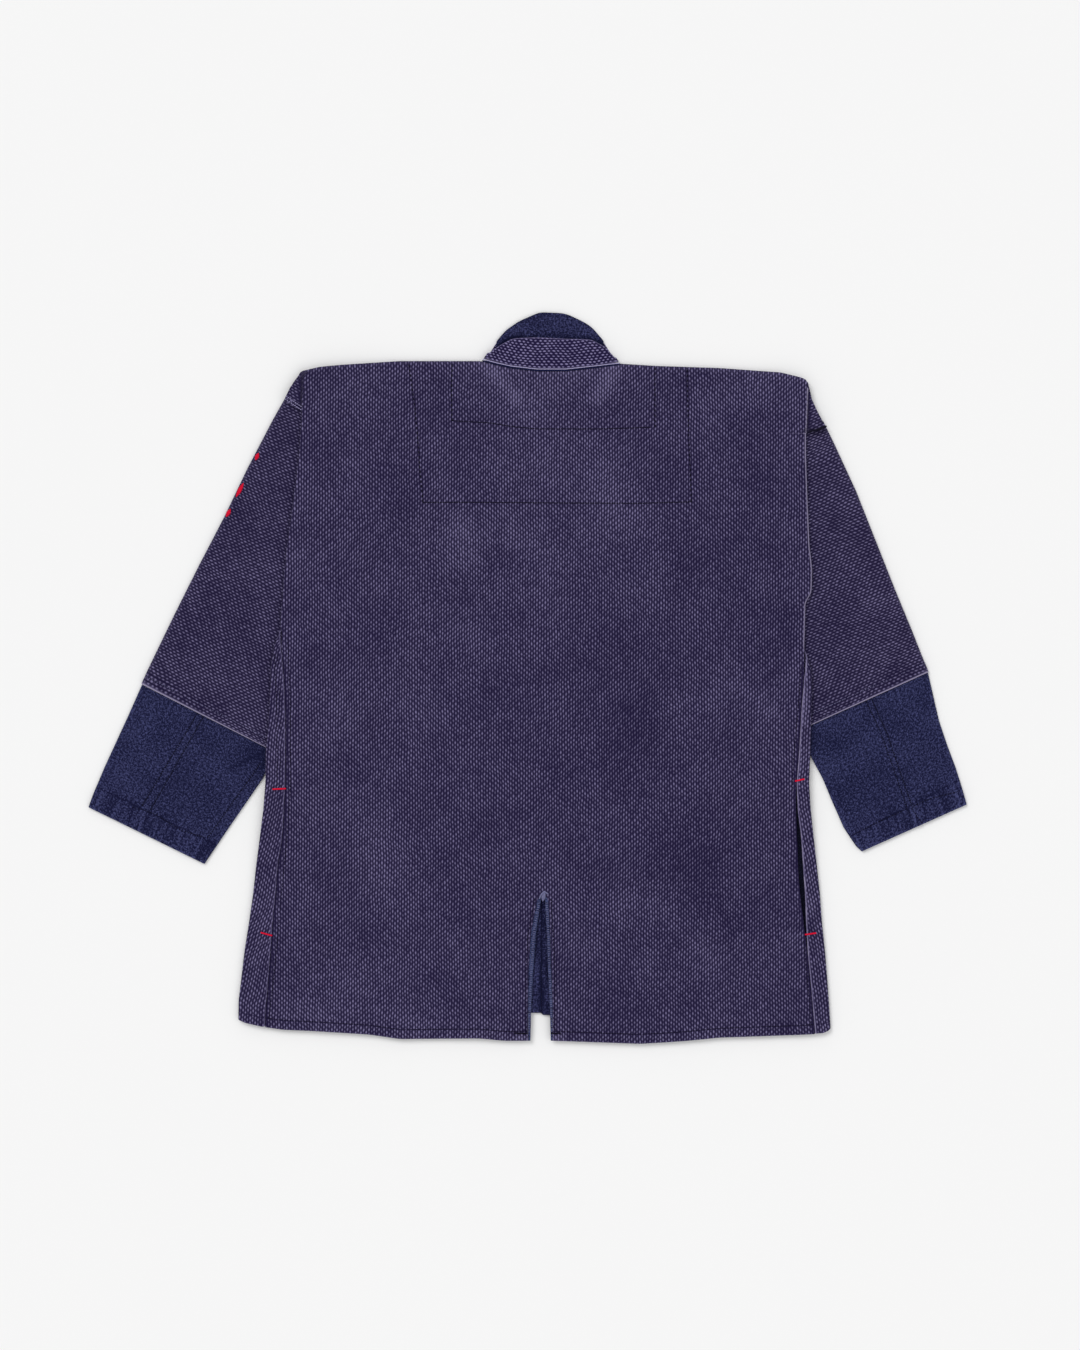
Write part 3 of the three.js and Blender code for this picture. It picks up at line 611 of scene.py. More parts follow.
def hem_step(from_edge):
    """Height of the body's turned hem, with a groove at its stitches."""
    inside = from_edge - HEM_DEPTH
    return HEM_STEP * (1 - smooth(inside / 1.6)) - HEM_STEP * bell(inside, 1.3)


def fold_part(side, body_rows, rows, drop, distances, lines):
    """Points and cloth coordinates round an outer fold, between the hem and shoulder lines."""
    points, flat = folded_points(side, rows, distances)
    own_rows = body_rows.place(to_column(points[..., 0]), *lines)[0]
    points[..., 1] = to_y(own_rows)
    flat[..., 1] = to_y(own_rows)
    sign = np.where(distances > 0, -1, 1) * np.minimum(1, np.abs(distances) / 3)
    points[..., 2] += drop * sign
    return points, flat


def back_half(side, body_rows, fold_count, inner_count):
    """Grid of one half of the back from its side seam to the middle."""
    lines = (HEM_LINE, TOP_LINE)
    rows, drop = body_rows.place(side_column(side, body_rows.nominal)[:, None], *lines)
    gape = BODY_SIDES.read("row", rows[:, 0], "right_gape") * SQUARE if side == "right" else 0
    line = seam_distance(side, rows[:, 0])
    start = line + gape + seam_gap(line) / 2
    distances = spread(start, np.maximum(start + LEAST_STRIP, BACK_STRIP), fold_count)
    points, flat = fold_part(side, body_rows, rows, drop, distances, lines)
    last = points[:, -1, 0]
    vent_columns = np.full((len(body_rows.nominal), 1), VENT_COLUMN)
    vent_rows = body_rows.place(vent_columns, *lines)[0][:, 0]
    middle = to_x(VENT.read("row", vent_rows, side))
    steps = np.concatenate(((0, 0.02, 0.05), np.ones(inner_count)))
    shares = 1 - np.cumsum(steps)[::-1][:-1] / (inner_count + 0.07)
    shares = np.append(shares[shares > 0], 1.0)
    x = mix(last[:, None], middle[:, None], shares)
    rows_in, drop_in = body_rows.place(to_column(x), *lines)
    y = to_y(rows_in)
    inner = np.stack((x, y, back_level(x, y) - drop_in), axis=-1)
    points = np.concatenate((points, inner), axis=1)
    shift = (flat[:, -1, 0] - last)[:, None]
    flat = np.concatenate((flat, np.stack((x + shift * (1 - shares), y), axis=-1)), axis=1)
    far = np.full(x.shape, FAR)
    from_seam = np.concatenate((distances - start[:, None], far), axis=1)
    from_fold = np.concatenate((np.abs(distances), far), axis=1)
    from_vent = np.full(points.shape[:2], FAR)
    from_vent[:, -x.shape[1]:] = np.abs(x - middle[:, None])
    from_vent[body_rows.nominal <= VENT_TOP_ROW] = FAR
    return points, flat, from_seam, from_fold, from_vent


# Dropped shoulder caps outside the body's crease: crease line, lower end and direction of the weave.
CAP = {
    "left": {"top": 303.0, "end": 301.6, "bottom": 411, "across": (0.883, -0.469)},
    "right": {"top": 808.0, "end": 806.2, "bottom": 434, "across": (-0.910, -0.415)},
}
CAP_DROP = 1.7


def cap_distance(side, x, y):
    """Distance outside the crease of the shoulder cap in millimetres."""
    row = to_row(y)
    cap = CAP[side]
    share = np.clip((row - CAP_TOP_ROW) / (cap["bottom"] - CAP_TOP_ROW), 0, 1)
    line = to_x(mix(cap["top"], cap["end"], share))
    return line - x if side == "left" else x - line


def lay_cap(side, points, flat):
    """Lowers the shoulder cap, turns its weave, and returns painted shade on the cap beside its crease, as
    negative wear.
    """
    x, y = points[..., 0], points[..., 1]
    cap = CAP[side]
    outside = cap_distance(side, x, y)
    rows = 1 - smooth((to_row(y) - cap["bottom"]) / 3)
    share = smooth((outside + 0.7) / 1.6) * rows
    on_top = smooth((points[..., 2] - front_level(x, y) - FOLD_RADIUS) / FOLD_RADIUS)
    points[..., 2] -= CAP_DROP * share * on_top
    across = np.array(cap["across"])
    along = np.array((across[1], -across[0]))
    turned = np.stack((x * along[0] + y * along[1], x * across[0] + y * across[1]), axis=-1)
    flat[...] = np.where((share > 0.5)[..., None], turned, flat)
    # Painted shade on the lowered cap, strongest just outside the crease.
    dark = 0.8 * bell(outside - 1.8, 1.8) + 0.3 * share
    return -dark * rows * (to_row(y) > CAP_TOP_ROW - 6)


def worn_crease(side, points, from_fold, nominal):
    """Signed distance from the light worn line of the shoulder crease and, on the right, of the fold."""
    row = nominal + 0 * from_fold
    crease = cap_distance(side, points[..., 0], points[..., 1]) + 0.9
    if side == "left":
        crease = np.abs(crease) * 1.5 + 0.6
    crease = np.where((row > CAP[side]["bottom"]) | (row < CAP_TOP_ROW - 4), FAR, crease)
    on_fold = (side == "right") & (row > CAP[side]["bottom"]) & (row < SEAM_ROW + 5)
    return np.where(on_fold, from_fold - 1.7, crease)


def puckers(along, depth, amount, length, seed):
    """Small waves beside a stitched line, fading with distance from it."""
    wave = soft_noise(along, along * 0.37, length, seed)
    return amount * wave * bell(depth, 7)


# Wear along each outer fold and beside each side seam.
FOLD_WEAR = {"left": 0.2, "right": 0.3}
SEAM_RUB = {"left": 0.85, "right": 1.5}


def build_back(settings, material):
    body_rows = BodyRows(quick_step(settings.grid_step / SQUARE / MILLIMETRE))
    nominal = body_rows.nominal[:, None]
    halves = []
    for side in SIDES:
        inner = quick_count(settings, 250)
        points, flat, from_seam, from_fold, from_vent = back_half(side, body_rows, 30, inner)
        x, y = points[..., 0], points[..., 1]
        hem = (HEM_ROW - nominal) * SQUARE + 0 * x
        thickness = rim_thickness(np.minimum(np.minimum(from_seam, from_vent), hem), BODY_CLOTH)
        thickness = np.where(from_seam < 7, thickness * 1.12, thickness)
        low_rows = np.where(nominal > SEAM_ROW + 10, 1.0, 0.0)
        points[..., 2] += hem_step(hem)
        points[..., 2] += puckers(x, hem - HEM_DEPTH * 0.5, amount=0.55, length=9, seed=11)
        points[..., 2] += puckers(y, from_vent - 5, amount=0.4, length=8, seed=12)
        points[..., 2] += low_rows * puckers(y, from_seam - 5, amount=0.5, length=8, seed=13)
        points[..., 2] -= low_rows * 0.35 * bell(from_seam - 4.5, 1.5)
        fade = streaks_at(BACK_FADES, x, y, add=True) + 0.22 * soft_noise(x, y, size=34, seed=21)
        wear = 0.7 * np.exp(-hem / 1.2) + FOLD_WEAR[side] * bell(from_fold - 0.7, 1.2)
        # Painted shadow: the from_seam term darkens a line beside the side seam, where the lapped front
        # strip's edge shades the back.
        wear += 0.3 * np.exp(-from_vent / 1.4) - 0.9 * low_rows * bell(from_seam - 0.6, 2.0)
        wear += 0.3 * bell((nominal - TOP_ROW) * SQUARE, 2.0)
        # Adds the painted shade on the shoulder cap from lay_cap.
        wear += lay_cap(side, points, flat)
        seam = np.where(nominal > SEAM_ROW, np.minimum(from_seam, from_vent), FAR)
        crease = worn_crease(side, points, from_fold, nominal)
        halves.append((points, flat, thickness, fade, wear, hem, seam, crease))
    rows, columns = halves[0][0].shape[:2]
    half_size = rows * columns
    left_faces = grid_faces(rows, columns)
    faces = np.concatenate((left_faces, left_faces[:, ::-1] + half_size))
    merged = [np.concatenate((left.reshape(half_size, -1), right.reshape(half_size, -1)))
              for left, right in zip(*halves)]
    closed = np.flatnonzero(body_rows.nominal <= VENT_TOP_ROW)
    shared = closed * columns + columns - 1 + half_size
    faces = np.where(np.isin(faces, shared), faces - half_size, faces)
    used = np.zeros(len(merged[0]), bool)
    used[faces.ravel()] = True
    renumber = np.cumsum(used) - 1
    points, flat = merged[0][used], merged[1][used]
    thickness, fade, wear, edge, seam, crease = (values[used, 0] for values in merged[2:])
    cloth = Cloth(points, flat, thickness, renumber[faces],
                  fade=fade, wear=wear, edge=edge, seam=seam, crease=crease, run=points[:, 0])
    return cloth.solid("back_cloth", material)


def front_grid(side, body_rows, strip_count, under_count):
    """Grid of one front from its side seam round the outer fold to the middle opening."""
    lines = (FRONT_HEM_LINE, FRONT_TOP_LINE)
    rows, drop = body_rows.place(side_column(side, body_rows.nominal)[:, None], *lines)
    line = seam_distance(side, rows[:, 0])
    start = line - seam_gap(line) / 2
    distances = -spread(-start, np.maximum(-start + LEAST_STRIP, FRONT_STRIP), strip_count)
    points = fold_part(side, body_rows, rows, drop, distances, lines)[0]
    outward = OUTWARD[side]
    middle = to_x(FRONT_EDGE_COLUMN) + outward * FRONT_EDGE_GAP / 2
    shares = np.append(np.linspace(0, 0.997, under_count)[1:], 1.0)
    x = mix(points[:, -1:, 0], middle, shares)
    rows_in, drop_in = body_rows.place(to_column(x), *lines)
    y = to_y(rows_in)
    inner = np.stack((x, y, front_level(x, y) + drop_in), axis=-1)
    edge = to_x(side_column(side, rows)) - outward * BODY_CLOTH / 2
    flat = np.stack((edge + outward * distances, points[..., 1]), axis=-1)
    flat = np.concatenate((flat, np.stack((x, y), axis=-1)), axis=1) * (-1, 1)
    points = np.concatenate((points, inner), axis=1)
    distances = np.concatenate((distances, np.full(x.shape, -FAR)), axis=1)
    from_seam = np.minimum(start[:, None] - distances, FAR)
    return points, flat, distances, from_seam


def build_front(settings, material, side):
    body_rows = BodyRows(quick_step(settings.grid_step / SQUARE / MILLIMETRE))
    nominal = body_rows.nominal[:, None]
    points, flat, distances, from_seam = front_grid(side, body_rows, 34, 26)
    x, y = points[..., 0], points[..., 1]
    hem = (HEM_ROW - nominal) * SQUARE + 0 * x
    on_top = smooth((distances - FOLD_QUARTER) / 3)
    thickness = rim_thickness(np.minimum(from_seam, hem), BODY_CLOTH)
    strip = np.where(nominal > SEAM_ROW - 10, on_top, 0)
    points[..., 2] += strip * 0.35 * (1 - smooth((from_seam - 6) / 2))
    points[..., 2] += strip * puckers(y, from_seam - 4, amount=0.6, length=7, seed=31)
    points[..., 2] += strip * 0.25 * soft_noise(x, y, size=9, seed=33)
    points[..., 2] += strip * hem_step(hem)
    low_rows = smooth((nominal - SEAM_ROW + 50) / 40)
    uneven = 0.85 + 0.3 * soft_noise(y, x, size=5, seed=37)
    wear = 0.2 * bell(distances - 0.7, 1.2)
    wear += SEAM_RUB[side] * bell(from_seam - 0.8, 0.9) * low_rows * uneven
    # Painted shade: the term at 4.6 mm from the seam darkens the groove beside the raised strip edge.
    wear += 0.7 * np.exp(-hem / 1.2) - 0.35 * bell(from_seam - 4.6, 1.2)
    fade = 0.35 * soft_noise(x, y, size=20, seed=35) + 0.05
    fade += streaks_at(STRIP_FADES, x, y, add=True) * on_top
    seam = np.where(low_rows > 0.5, from_seam, FAR)
    cloth = Cloth(points, flat, thickness, grid_faces(*points.shape[:2]),
                  fade=fade, wear=wear, edge=hem, seam=seam, run=x)
    return cloth.solid(f"front_cloth_{side}", material)


def ring_grid(table, low, high, wall, count_along, upper):
    """Flat tube between two folds: points, cloth coordinates and marks for its wear."""
    stations = np.linspace(0, 1, len(table.columns["outer_column"]))
    shares = np.concatenate(((0, 0.002, 0.006), np.linspace(0.014, 0.986, count_along), (0.994, 0.998, 1)))
    outer_column, outer_row, inner_column, inner_row = (
        np.interp(shares, stations, values) for values in table.columns.values())
    outer = np.stack((to_x(outer_column), to_y(outer_row)), axis=-1)
    inner = np.stack((to_x(inner_column), to_y(inner_row)), axis=-1)
    across = inner - outer
    width = np.linalg.norm(across, axis=1, keepdims=True)
    across /= width
    radius = (high - low) / 2
    inset = wall / 2 + radius
    turns = np.radians(np.array((68, 45, 22, 0, -22, -45, -68)))
    top = np.linspace(0, 1, upper)
    bottom = np.linspace(1, 0, max(upper // 2, 8))
    place = np.concatenate((top, np.ones(len(turns)), bottom, np.zeros(len(turns))))
    bulge = np.concatenate((0 * top, np.cos(turns), 0 * bottom, -np.cos(turns)))
    height = np.concatenate((0 * top + 1, np.sin(turns), 0 * bottom - 1, np.sin(turns[::-1])))
    start = outer + across * inset
    end = inner - across * inset
    plan = mix(start[:, None], end[:, None], place[None, :, None])
    plan = plan + across[:, None] * (bulge * radius)[None, :, None]
    z = (low + high) / 2 + radius * height[None, :] + 0 * plan[..., 0]
    upper_share = np.clip(height, 0, 1)[None, :] * np.ones_like(z)
    along = run_along((outer + inner) / 2)
    turn_length = radius * (math.pi / 2 - turns)
    half_turn = radius * math.pi
    run = np.concatenate((top * 0, turn_length, 0 * bottom + half_turn, half_turn + turn_length))
    span = width - 2 * inset
    across_run = np.concatenate((top, np.ones(len(turns)), 2 - bottom, 2 * np.ones(len(turns))))
    cloth_v = across_run[None, :] * span + run[None, :]
    flat = np.stack((along[:, None] + 0 * cloth_v, cloth_v), axis=-1)
    points = np.concatenate((plan, z[..., None]), axis=-1)
    fold = np.where(upper_share > 0, np.minimum(place, 1 - place)[None, :] * span, 0)
    from_top = along[:, None] + 0 * z
    from_hem = (along[-1] - along)[:, None] + 0 * z
    return points, flat, from_top, from_hem, upper_share, np.minimum(fold, FAR)


def sleeve_relief(x, y):
    visible = smooth((-lift_cover(x, y)) / 10)
    waves = 0.25 * soft_noise(x, y, size=38, seed=41) + 0.12 * soft_noise(x, y, size=14, seed=43)
    return (streaks_at(SLEEVE_RIDGES, x, y) + 0.25 + waves) * visible


def lift_cover(x, y):
    """Distance inside the body's outline, below zero outside it."""
    row = to_row(y)
    left = x - to_x(side_column("left", row))
    right = to_x(side_column("right", row)) - x
    return np.minimum(left, right)


def build_sleeve(settings, material, side):
    points, flat, from_top, from_hem, upper, fold = ring_grid(
        SLEEVES[side], SLEEVE_LOW, SLEEVE_HIGH, SLEEVE_CLOTH, quick_count(settings, 350),
        quick_count(settings, 190))
    x, y = points[..., 0], points[..., 1]
    flat = flat * (1, -OUTWARD[side])
    thickness = rim_thickness(np.minimum(from_hem, from_top), SLEEVE_CLOTH)
    band = 1 - smooth((from_hem - SLEEVE_HEM_DEPTH) / 1.6)
    points[..., 2] += upper * (sleeve_relief(x, y) + 0.3 * band)
    points[..., 2] += upper * puckers(flat[..., 1], from_hem - 6, amount=0.5, length=8, seed=51)
    wear = 2.2 * bell(from_hem, 1.4) + 0.35 * bell(fold, 1.8)
    fade = 0.3 * soft_noise(x, y, size=30, seed=53) - 0.12
    cloth = Cloth(points, flat, thickness, grid_faces(*points.shape[:2], closed=True),
                  fade=fade, wear=wear, edge=from_hem, run=flat[..., 1])
    return cloth.solid(f"sleeve_cloth_{side}", material)


# Felled seams of the lower sleeves, each between two stitched lines.
FELLED = {
    "left": Table(STREAK, ((200, 715, 146.7, 807, 0.75, 3.6), (258, 767, 207, 838, 0.5, 2.6))),
    "right": Table(STREAK, ((869.5, 701, 911, 812, 0.75, 3.6), (911, 812, 920, 826, 0.75, 3.6))),
}
# Lower sleeves' streaks: negative amounts are painted shade in the creases and beside the body, positive
# amounts are faded streaks.
CUFF_FADES_AND_SHADES = Table(STREAK, (
    (232, 768, 266, 751, -1.1, 4),
    (246, 752, 268, 744, -0.5, 9),
    (262, 764, 268, 756, -0.9, 7),
    (840, 745, 812, 740, -0.4, 12),
    (836, 790, 860, 836, -0.4, 6),
    (150, 712, 120, 775, 0.3, 12),
    (930, 740, 948, 784, 0.3, 12),
))


def felled_height(table, x, y):
    """Flat-topped ridge along each felled seam."""
    total = np.zeros(np.shape(x))
    for gap, amount, width in streak_gaps(table, x, y, overrun=0.1):
        total = np.maximum(total, amount * (1 - smooth((gap - width * 0.75) / (width * 0.5))))
    return total


def build_cuff(settings, material, side):
    points, flat, from_top, from_hem, upper, fold = ring_grid(
        CUFFS[side], CUFF_LOW, CUFF_HIGH, DENIM_CLOTH, quick_count(settings, 340),
        quick_count(settings, 360))
    x, y = points[..., 0], points[..., 1]
    thickness = rim_thickness(np.minimum(from_hem, from_top), DENIM_CLOTH)
    seam = felled_height(FELLED[side], x, y)
    hem = 1 - smooth((from_hem - DENIM_HEM_DEPTH) / 1.4)
    points[..., 2] += upper * (seam + 0.55 * hem)
    points[..., 2] += upper * puckers(flat[..., 1], from_hem - 13, amount=0.8, length=10, seed=61)
    points[..., 2] += upper * 0.22 * (1 + soft_noise(x, y, size=22, seed=63))
    wear = 0.1 * seam + 0.6 * bell(from_hem, 1.8) + 0.25 * bell(fold, 2.0)
    # The fade mark carries painted shade from the negative streaks as well as fading.
    fade = 0.3 * soft_noise(x, y, size=26, seed=67) + streaks_at(CUFF_FADES_AND_SHADES, x, y, add=True)
    cloth = Cloth(points, flat, thickness, grid_faces(*points.shape[:2], closed=True),
                  fade=fade, wear=wear, edge=from_hem, run=flat[..., 1])
    return cloth.solid(f"lower_sleeve_{side}", material)


def collar_points(table, places, steps, low_level, rise):
    """Grid across a collar part: one row for each place along it, one column for each height."""
    index = np.linspace(0, 1, len(table.columns["low_column"]))
    nearby = (-0.03, -0.015, 0, 0.015, 0.03)
    values = {name: sum(np.interp(places + step, index, column) for step in nearby) / len(nearby)
              for name, column in table.columns.items()}
    shares = np.asarray(steps)
    x = to_x(mix(values["low_column"][:, None], values["high_column"][:, None], shares))
    y = to_y(mix(values["low_row"][:, None], values["high_row"][:, None], shares))
    lifted = values["rise"][:, None] * rise if "rise" in values else 0
    z = low_level + lifted * smooth(shares) + 0 * x
    return np.stack((x, y, z), axis=-1)


def build_collar_band(material):
    """Stand collar, a ring round the neck from front edge to front edge."""
    steps = np.concatenate(((0, 0.012, 0.035), np.linspace(0.07, 0.93, 12), (0.965, 0.988, 1)))
    front_places = np.linspace(0, 4 / 9, 16)
    left = collar_points(COLLAR_FRONT, front_places[::-1], steps, FRONT_LEVEL, 0)
    right = collar_points(COLLAR_FRONT, 1 - front_places, steps, FRONT_LEVEL, 0)
    inset = BODY_CLOTH * 0.75
    for part in (left, right):
        part[..., 1] -= inset * smooth(steps)
    back = collar_points(COLLAR_BACK, np.linspace(0, 1, 60), steps, COLLAR_BACK_LEVEL, 1)
    turns = []
    for first, second, outward in ((left[-1], back[0], -1), (back[-1], right[0], 1)):
        shares = np.linspace(0, 1, 9)[1:-1]
        turn = mix(first, second, smooth(shares)[:, None, None])
        turn[..., 0] += (outward * 1.2 * np.sin(shares * math.pi))[:, None]
        turns.append(turn)
    points = np.concatenate((left, turns[0], back, turns[1], right))
    along = run_along(points[:, 0])
    height = np.linalg.norm(points - points[:, :1], axis=-1)
    flat = np.stack((height, 0 * height - along[:, None]), axis=-1)
    depth = np.minimum(height, height[:, -1:] - height)
    ends = np.minimum(np.arange(len(points)), np.arange(len(points))[::-1])[:, None] * 4.0
    thickness = rim_thickness(np.minimum(depth, ends), BODY_CLOTH)
    x, y = points[..., 0], points[..., 1]
    waves = 0.3 * soft_noise(x, y, size=9, seed=71)
    points[..., 2] += np.where(points[..., 2] > COLLAR_BACK_LEVEL - 1.4, waves, 0)
    wear = 1.15 * np.exp(-depth / 0.8) + 0.3 * np.exp(-(np.abs(x - to_x(COLLAR_COLUMN)) - 72) ** 2 / 20)
    fade = 0.1 + 0.4 * soft_noise(x, y, size=11, seed=73)
    cloth = Cloth(points, flat, thickness, grid_faces(*points.shape[:2]), fade=fade, wear=wear)
    return cloth.solid("collar_cloth", material)


def build_collar_facing(material):
    """Navy facing inside the front half of the collar."""
    steps = np.concatenate(((0, 0.01, 0.03), np.linspace(0.06, 0.94, 12), (0.97, 0.99, 1)))
    level = FRONT_LEVEL + BODY_CLOTH / 2 + SEAM_GAP + FACING_CLOTH / 2
    points = collar_points(COLLAR_FRONT, np.linspace(1 / 9, 8 / 9, 48), steps, level, 0)
    x, y = points[..., 0], points[..., 1]
    points[..., 2] += 0.3 * (1 + soft_noise(x, y, size=16, seed=75)) * np.sin(math.pi * steps)
    height = np.linalg.norm(points - points[:, :1], axis=-1)
    along = run_along(points[:, 6])
    flat = np.stack((along[:, None] + 0 * height, height), axis=-1)
    edge = height[:, -1:] - height
    thickness = rim_thickness(np.minimum(height, edge), FACING_CLOTH)
    wear = -0.6 * bell(edge, 1.6) + 0.1
    # Painted shade: COLLAR_SHADE darkens the facing in the hollow under the collar band, as negative wear.
    wear -= 2.2 * streaks_at(COLLAR_SHADE, x, y)
    fade = 0.3 * soft_noise(x, y, size=15, seed=77)
    cloth = Cloth(points, flat, thickness, grid_faces(*points.shape[:2]), fade=fade, wear=wear)
    return cloth.solid("collar_lining", material)


def build_front_facing(material, side):
    """Facing along the front edge, seen through the back vent."""
    body_rows = BodyRows(quick_step(8.0))
    outward = OUTWARD[side]
    last = to_x(side_column(side, body_rows.rows)) - outward * FACING_START
    middle = to_x(FRONT_EDGE_COLUMN) + outward * FRONT_EDGE_GAP / 2
    keep = body_rows.rows > FACING_TOP_ROW
    shares = np.concatenate((np.linspace(0.8, 0.95, 5), np.linspace(0.957, 0.998, 18), (1.0,)))
    x = mix(last[:, None], middle, shares)[keep]
    rows = bent_row(body_rows.rows[keep][:, None], to_column(x), FRONT_HEM_LINE, FRONT_TOP_LINE)
    y = to_y(rows)
    level = BODY_CLOTH / 2 + SEAM_GAP + FACING_CLOTH / 2 + 0.1
    points = np.stack((x, y, front_level(x, y) + level), axis=-1)
    from_edge = np.abs(x - middle)
    depth = np.minimum(from_edge, (HEM_ROW - body_rows.rows[keep])[:, None] * SQUARE)
    # Painted shadow: the from_edge term darkens the facing along the front edge, under the overlapping
    # front; the streaky noise is the cloth's own tone.
    wear = 0.55 * soft_noise(x * 2.0, y * 0.25, size=7, seed=81) - 0.1 - 1.2 * np.exp(-from_edge / 0.9)
    cloth = Cloth(points, points[..., :2].copy(), rim_thickness(depth, FACING_CLOTH),
                  grid_faces(*points.shape[:2]), fade=0.4 * soft_noise(x, y, size=14, seed=81), wear=wear)
    return cloth.solid(f"front_facing_cloth_{side}", material)


def build_pocket(material, side):
    """Folded pocket bag between the front and the back."""
    inward = -OUTWARD[side]
    rows = np.linspace(*POCKET_ROWS, 44)
    low = BODY_CLOTH / 2 + SEAM_GAP + POCKET_CLOTH / 2
    high = low + POCKET_CLOTH + SEAM_GAP
    reach = np.concatenate(((0, 0.6, 1.4), np.linspace(4, POCKET_REACH, 22)))
    edge = to_x(side_column(side, rows)) + inward * POCKET_FROM_FOLD
    x_low = edge[:, None] + inward * reach
    x = np.concatenate((x_low, x_low[:, -1:] + inward * 0.6, x_low[:, :0:-1]), axis=1)
    y = to_y(rows)[:, None] + 0 * x
    raise_by = np.concatenate((0 * reach + low, ((low + high) / 2,), 0 * reach[1:] + high))
    points = np.stack((x, y, front_level(x, y) + raise_by), axis=-1)
    flat = np.stack((x, y), axis=-1)
    cloth = Cloth(points, flat, POCKET_CLOTH, grid_faces(*points.shape[:2]))
    return cloth.solid(f"pocket_cloth_{side}", material)


def build_binding(material, side):
    """Narrow binding along one side of the vent."""
    inward = -OUTWARD[side]
    rows = np.concatenate((HEM_ROW - np.array((0, 0.4, 1.2)), np.linspace(1036, 898, 64), (897.4, 896.9)))
    bent = bent_row(rows, np.full(len(rows), float(VENT_COLUMN)), HEM_LINE, TOP_LINE)
    start = to_x(VENT.read("row", bent, side)) + inward * SEAM_GAP
    end = mix(start, to_x(VENT.read("row", bent, f"{side}_in")), 0.84)
    shares = np.linspace(0, 1, 7)
    x = mix(start[:, None], end[:, None], shares)
    y = to_y(bent)[:, None] + 0 * x
    crown = 0.35 * np.sin(math.pi * shares)
    points = np.stack((x, y, back_level(start, to_y(bent))[:, None] + crown + 0 * x), axis=-1)
    points[..., 2] += puckers(y, 0 * y, amount=0.25, length=5, seed=85)
    depth = np.minimum(np.abs(x - start[:, None]), np.abs(x - end[:, None])) + 0.2
    cloth = Cloth(points, points[..., :2].copy(), rim_thickness(depth, BINDING_CLOTH * 0.8),
                  grid_faces(*points.shape[:2]), fade=0.8 + 0.8 * soft_noise(x, y, size=6, seed=87),
                  wear=0.25 + 0.3 * np.exp(-depth))
    return cloth.solid(f"vent_binding_cloth_{side}", material)


def both_ways(operation):
    """An operator of Field and its reflected form."""
    def forward(field, other):
        return field.maths(operation, field, other)

    def reflected(field, other):
        return field.maths(operation, other, field)

    return forward, reflected


class Field:
    """A node value with ordinary arithmetic."""

    def __init__(self, nodes, socket):
        self.nodes = nodes
        self.socket = socket

    def maths(self, operation, *values):
        return self.nodes.add("ShaderNodeMath", {"operation": operation}, dict(enumerate(values)))

    __add__, __radd__ = both_ways("ADD")
    __sub__, __rsub__ = both_ways("SUBTRACT")
    __mul__, __rmul__ = both_ways("MULTIPLY")
    __truediv__, __rtruediv__ = both_ways("DIVIDE")
    __pow__, __rpow__ = both_ways("POWER")

    def floor(self):
        return self.maths("FLOOR", self)

    def fraction(self):
        return self.maths("FRACT", self)

    def root(self):
        return self.maths("SQRT", self)

    def size(self):
        return self.maths("ABSOLUTE", self)

    def ramp(self, low, high):
        """Smooth step from 0 at low to 1 at high."""
        return self.nodes.add("ShaderNodeMapRange", {"interpolation_type": "SMOOTHSTEP"},
                              {"Value": self, "From Min": low, "From Max": high})


class Nodes:
    """Node tree builder: each node by its type, then its settings, then values and links."""

    def __init__(self, tree):
        self.tree = tree

    def node(self, kind, settings=None, inputs=None):
        node = self.tree.nodes.new(kind)
        for name, value in (settings or {}).items():
            setattr(node, name, value)
        for name, value in (inputs or {}).items():
            if isinstance(value, Field):
                self.tree.links.new(value.socket, node.inputs[name])
            else:
                node.inputs[name].default_value = value
        return node

    def add(self, kind, settings=None, inputs=None, output=0):
        return Field(self, self.node(kind, settings, inputs).outputs[output])


